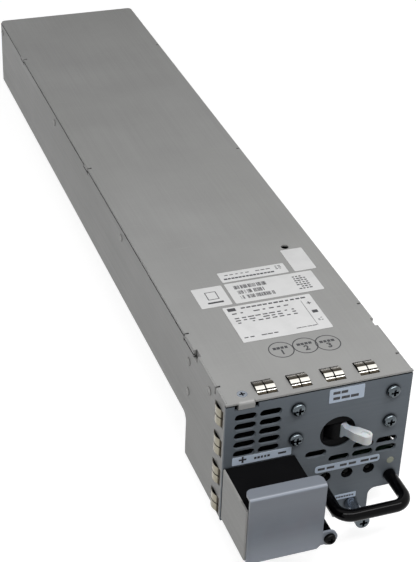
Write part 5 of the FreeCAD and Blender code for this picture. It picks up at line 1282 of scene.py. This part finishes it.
class POWER_SUPPLY_OT_stage(bpy.types.Operator):
    """Make the white floor, the room light, the lamps and the camera"""
    bl_idname = "power_supply.stage"
    bl_label = "Studio stage"

    def execute(self, context):
        look = context.scene.supply_stage
        self.floor(look)
        self.room(context.scene, look)
        soft_lamp("key_lamp", look.key_power, place=(0.05, -0.46, 0.58), target=(0.0, -0.15, 0.08),
                  size=(0.9, 0.16))
        soft_lamp("side_lamp", look.fill_power, place=(-0.9, -0.1, 0.55), target=(0.0, -0.05, 0.05),
                  size=(0.9, 0.6))
        soft_lamp("rear_lamp", look.rear_power, place=(0.55, 0.75, 0.13), target=(0.0, 0.2, 0.05),
                  size=(0.5, 0.2))
        self.camera(context.scene, look)
        context.scene.view_settings.view_transform = "Standard"
        return {"FINISHED"}

    def floor(self, look):
        """Plane that touches the tab's lower edge and the case's lower rear edge, so it slopes a little."""
        tab = Vector((0.0, PANEL_LOW.y + PANEL_SHEET, PANEL_LOW.z))
        rear = Vector((0.0, CASE_HIGH.y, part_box("rear_panel")[0][2] - CASE_SHEET))
        along = (rear - tab).normalized()
        front = tab - along * FLOOR_AHEAD
        back = tab + along * FLOOR_BEHIND
        side = Vector((FLOOR_SIDE, 0.0, 0.0))
        bm = bmesh.new()
        bm.faces.new([bm.verts.new(c) for c in (front - side, front + side, back + side, back - side)])
        finish = Finish("studio_floor", look.floor_colour, 0.9)
        finish.paint(finish.mix(finish.noise(3.0), finish.colour * 0.98, finish.colour * 1.02))
        glow = finish.maths("MULTIPLY", seen_or_mirrored(finish.tree), look.floor_glow)
        finish.shader.inputs["Emission Color"].default_value = (1, 1, 1, 1)
        finish.tree.links.new(glow, finish.shader.inputs["Emission Strength"])
        floor = bpy.data.objects.new("studio_floor", mesh_from(bm, "studio_floor", finish.material))
        bpy.context.scene.collection.objects.link(floor)

    def room(self, scene, look):
        world = bpy.data.worlds.new("studio_room")
        world.use_nodes = True
        tree = world.node_tree
        sky = tree.nodes["Background"]
        sky.inputs["Color"].default_value = (1, 1, 1, 1)
        level = tree.nodes.new("ShaderNodeMapRange")
        level.inputs["To Min"].default_value = look.room_light
        level.inputs["To Max"].default_value = 1.0
        tree.links.new(seen_or_mirrored(tree), level.inputs["Value"])
        tree.links.new(level.outputs["Result"], sky.inputs["Strength"])
        scene.world = world

    def camera(self, scene, look):
        data = bpy.data.cameras.new("photo_camera")
        data.lens = look.camera_lens
        data.sensor_width = SENSOR_WIDTH
        data.sensor_fit = "AUTO"
        camera = bpy.data.objects.new("photo_camera", data)
        dip, turn, roll = look.camera_dip, look.camera_turn, look.camera_roll
        ahead = Vector((math.sin(turn) * math.cos(dip), math.cos(turn) * math.cos(dip), -math.sin(dip)))
        right = ahead.cross(Vector((0, 0, 1))).normalized()
        down = ahead.cross(right)
        across = right * math.cos(roll) + down * math.sin(roll)
        up = right * math.sin(roll) - down * math.cos(roll)
        facing = Matrix((across, up, -ahead)).transposed().to_4x4()
        camera.matrix_world = Matrix.Translation(look.camera_place) @ facing
        scene.collection.objects.link(camera)
        scene.camera = camera


# Panel and registration

STEPS = (
    POWER_SUPPLY_OT_finish_sheet, POWER_SUPPLY_OT_finish_hardware, POWER_SUPPLY_OT_finish_plastics,
    POWER_SUPPLY_OT_finish_inside, POWER_SUPPLY_OT_lid_labels, POWER_SUPPLY_OT_ink_stamps,
    POWER_SUPPLY_OT_panel_labels, POWER_SUPPLY_OT_threads, POWER_SUPPLY_OT_press_heads,
    POWER_SUPPLY_OT_indicator_bezels, POWER_SUPPLY_OT_stage,
)
SETTINGS = {
    "supply_sheet": SheetFinishSettings, "supply_hardware": HardwareFinishSettings,
    "supply_plastics": PlasticFinishSettings, "supply_labels": LabelSettings, "supply_stage": StageSettings,
}


class POWER_SUPPLY_PT_steps(bpy.types.Panel):
    """Lists the steps that dress the power supply"""
    bl_idname = "POWER_SUPPLY_PT_steps"
    bl_label = "Power supply"
    bl_space_type = "VIEW_3D"
    bl_region_type = "UI"
    bl_category = "Power Supply"

    def draw(self, context):
        for name, group in SETTINGS.items():
            box = self.layout.box()
            for setting in group.__annotations__:
                box.prop(getattr(context.scene, name), setting)
        for step in STEPS:
            self.layout.operator(step.bl_idname)


def register():
    for group in SETTINGS.values():
        bpy.utils.register_class(group)
    for name, group in SETTINGS.items():
        setattr(bpy.types.Scene, name, PointerProperty(type=group))
    for step in STEPS:
        bpy.utils.register_class(step)
    bpy.utils.register_class(POWER_SUPPLY_PT_steps)


def unregister():
    bpy.utils.unregister_class(POWER_SUPPLY_PT_steps)
    for step in reversed(STEPS):
        bpy.utils.unregister_class(step)
    for name, group in SETTINGS.items():
        delattr(bpy.types.Scene, name)
        bpy.utils.unregister_class(group)


def main():
    register()
    bpy.ops.power_supply.finish_sheet()
    bpy.ops.power_supply.finish_hardware()
    bpy.ops.power_supply.finish_plastics()
    bpy.ops.power_supply.finish_inside()
    bpy.ops.power_supply.lid_labels()
    bpy.ops.power_supply.ink_stamps()
    bpy.ops.power_supply.panel_labels()
    bpy.ops.power_supply.threads()
    bpy.ops.power_supply.press_heads()
    bpy.ops.power_supply.indicator_bezels()
    bpy.ops.power_supply.stage()


if __name__ == "__main__":
    main()
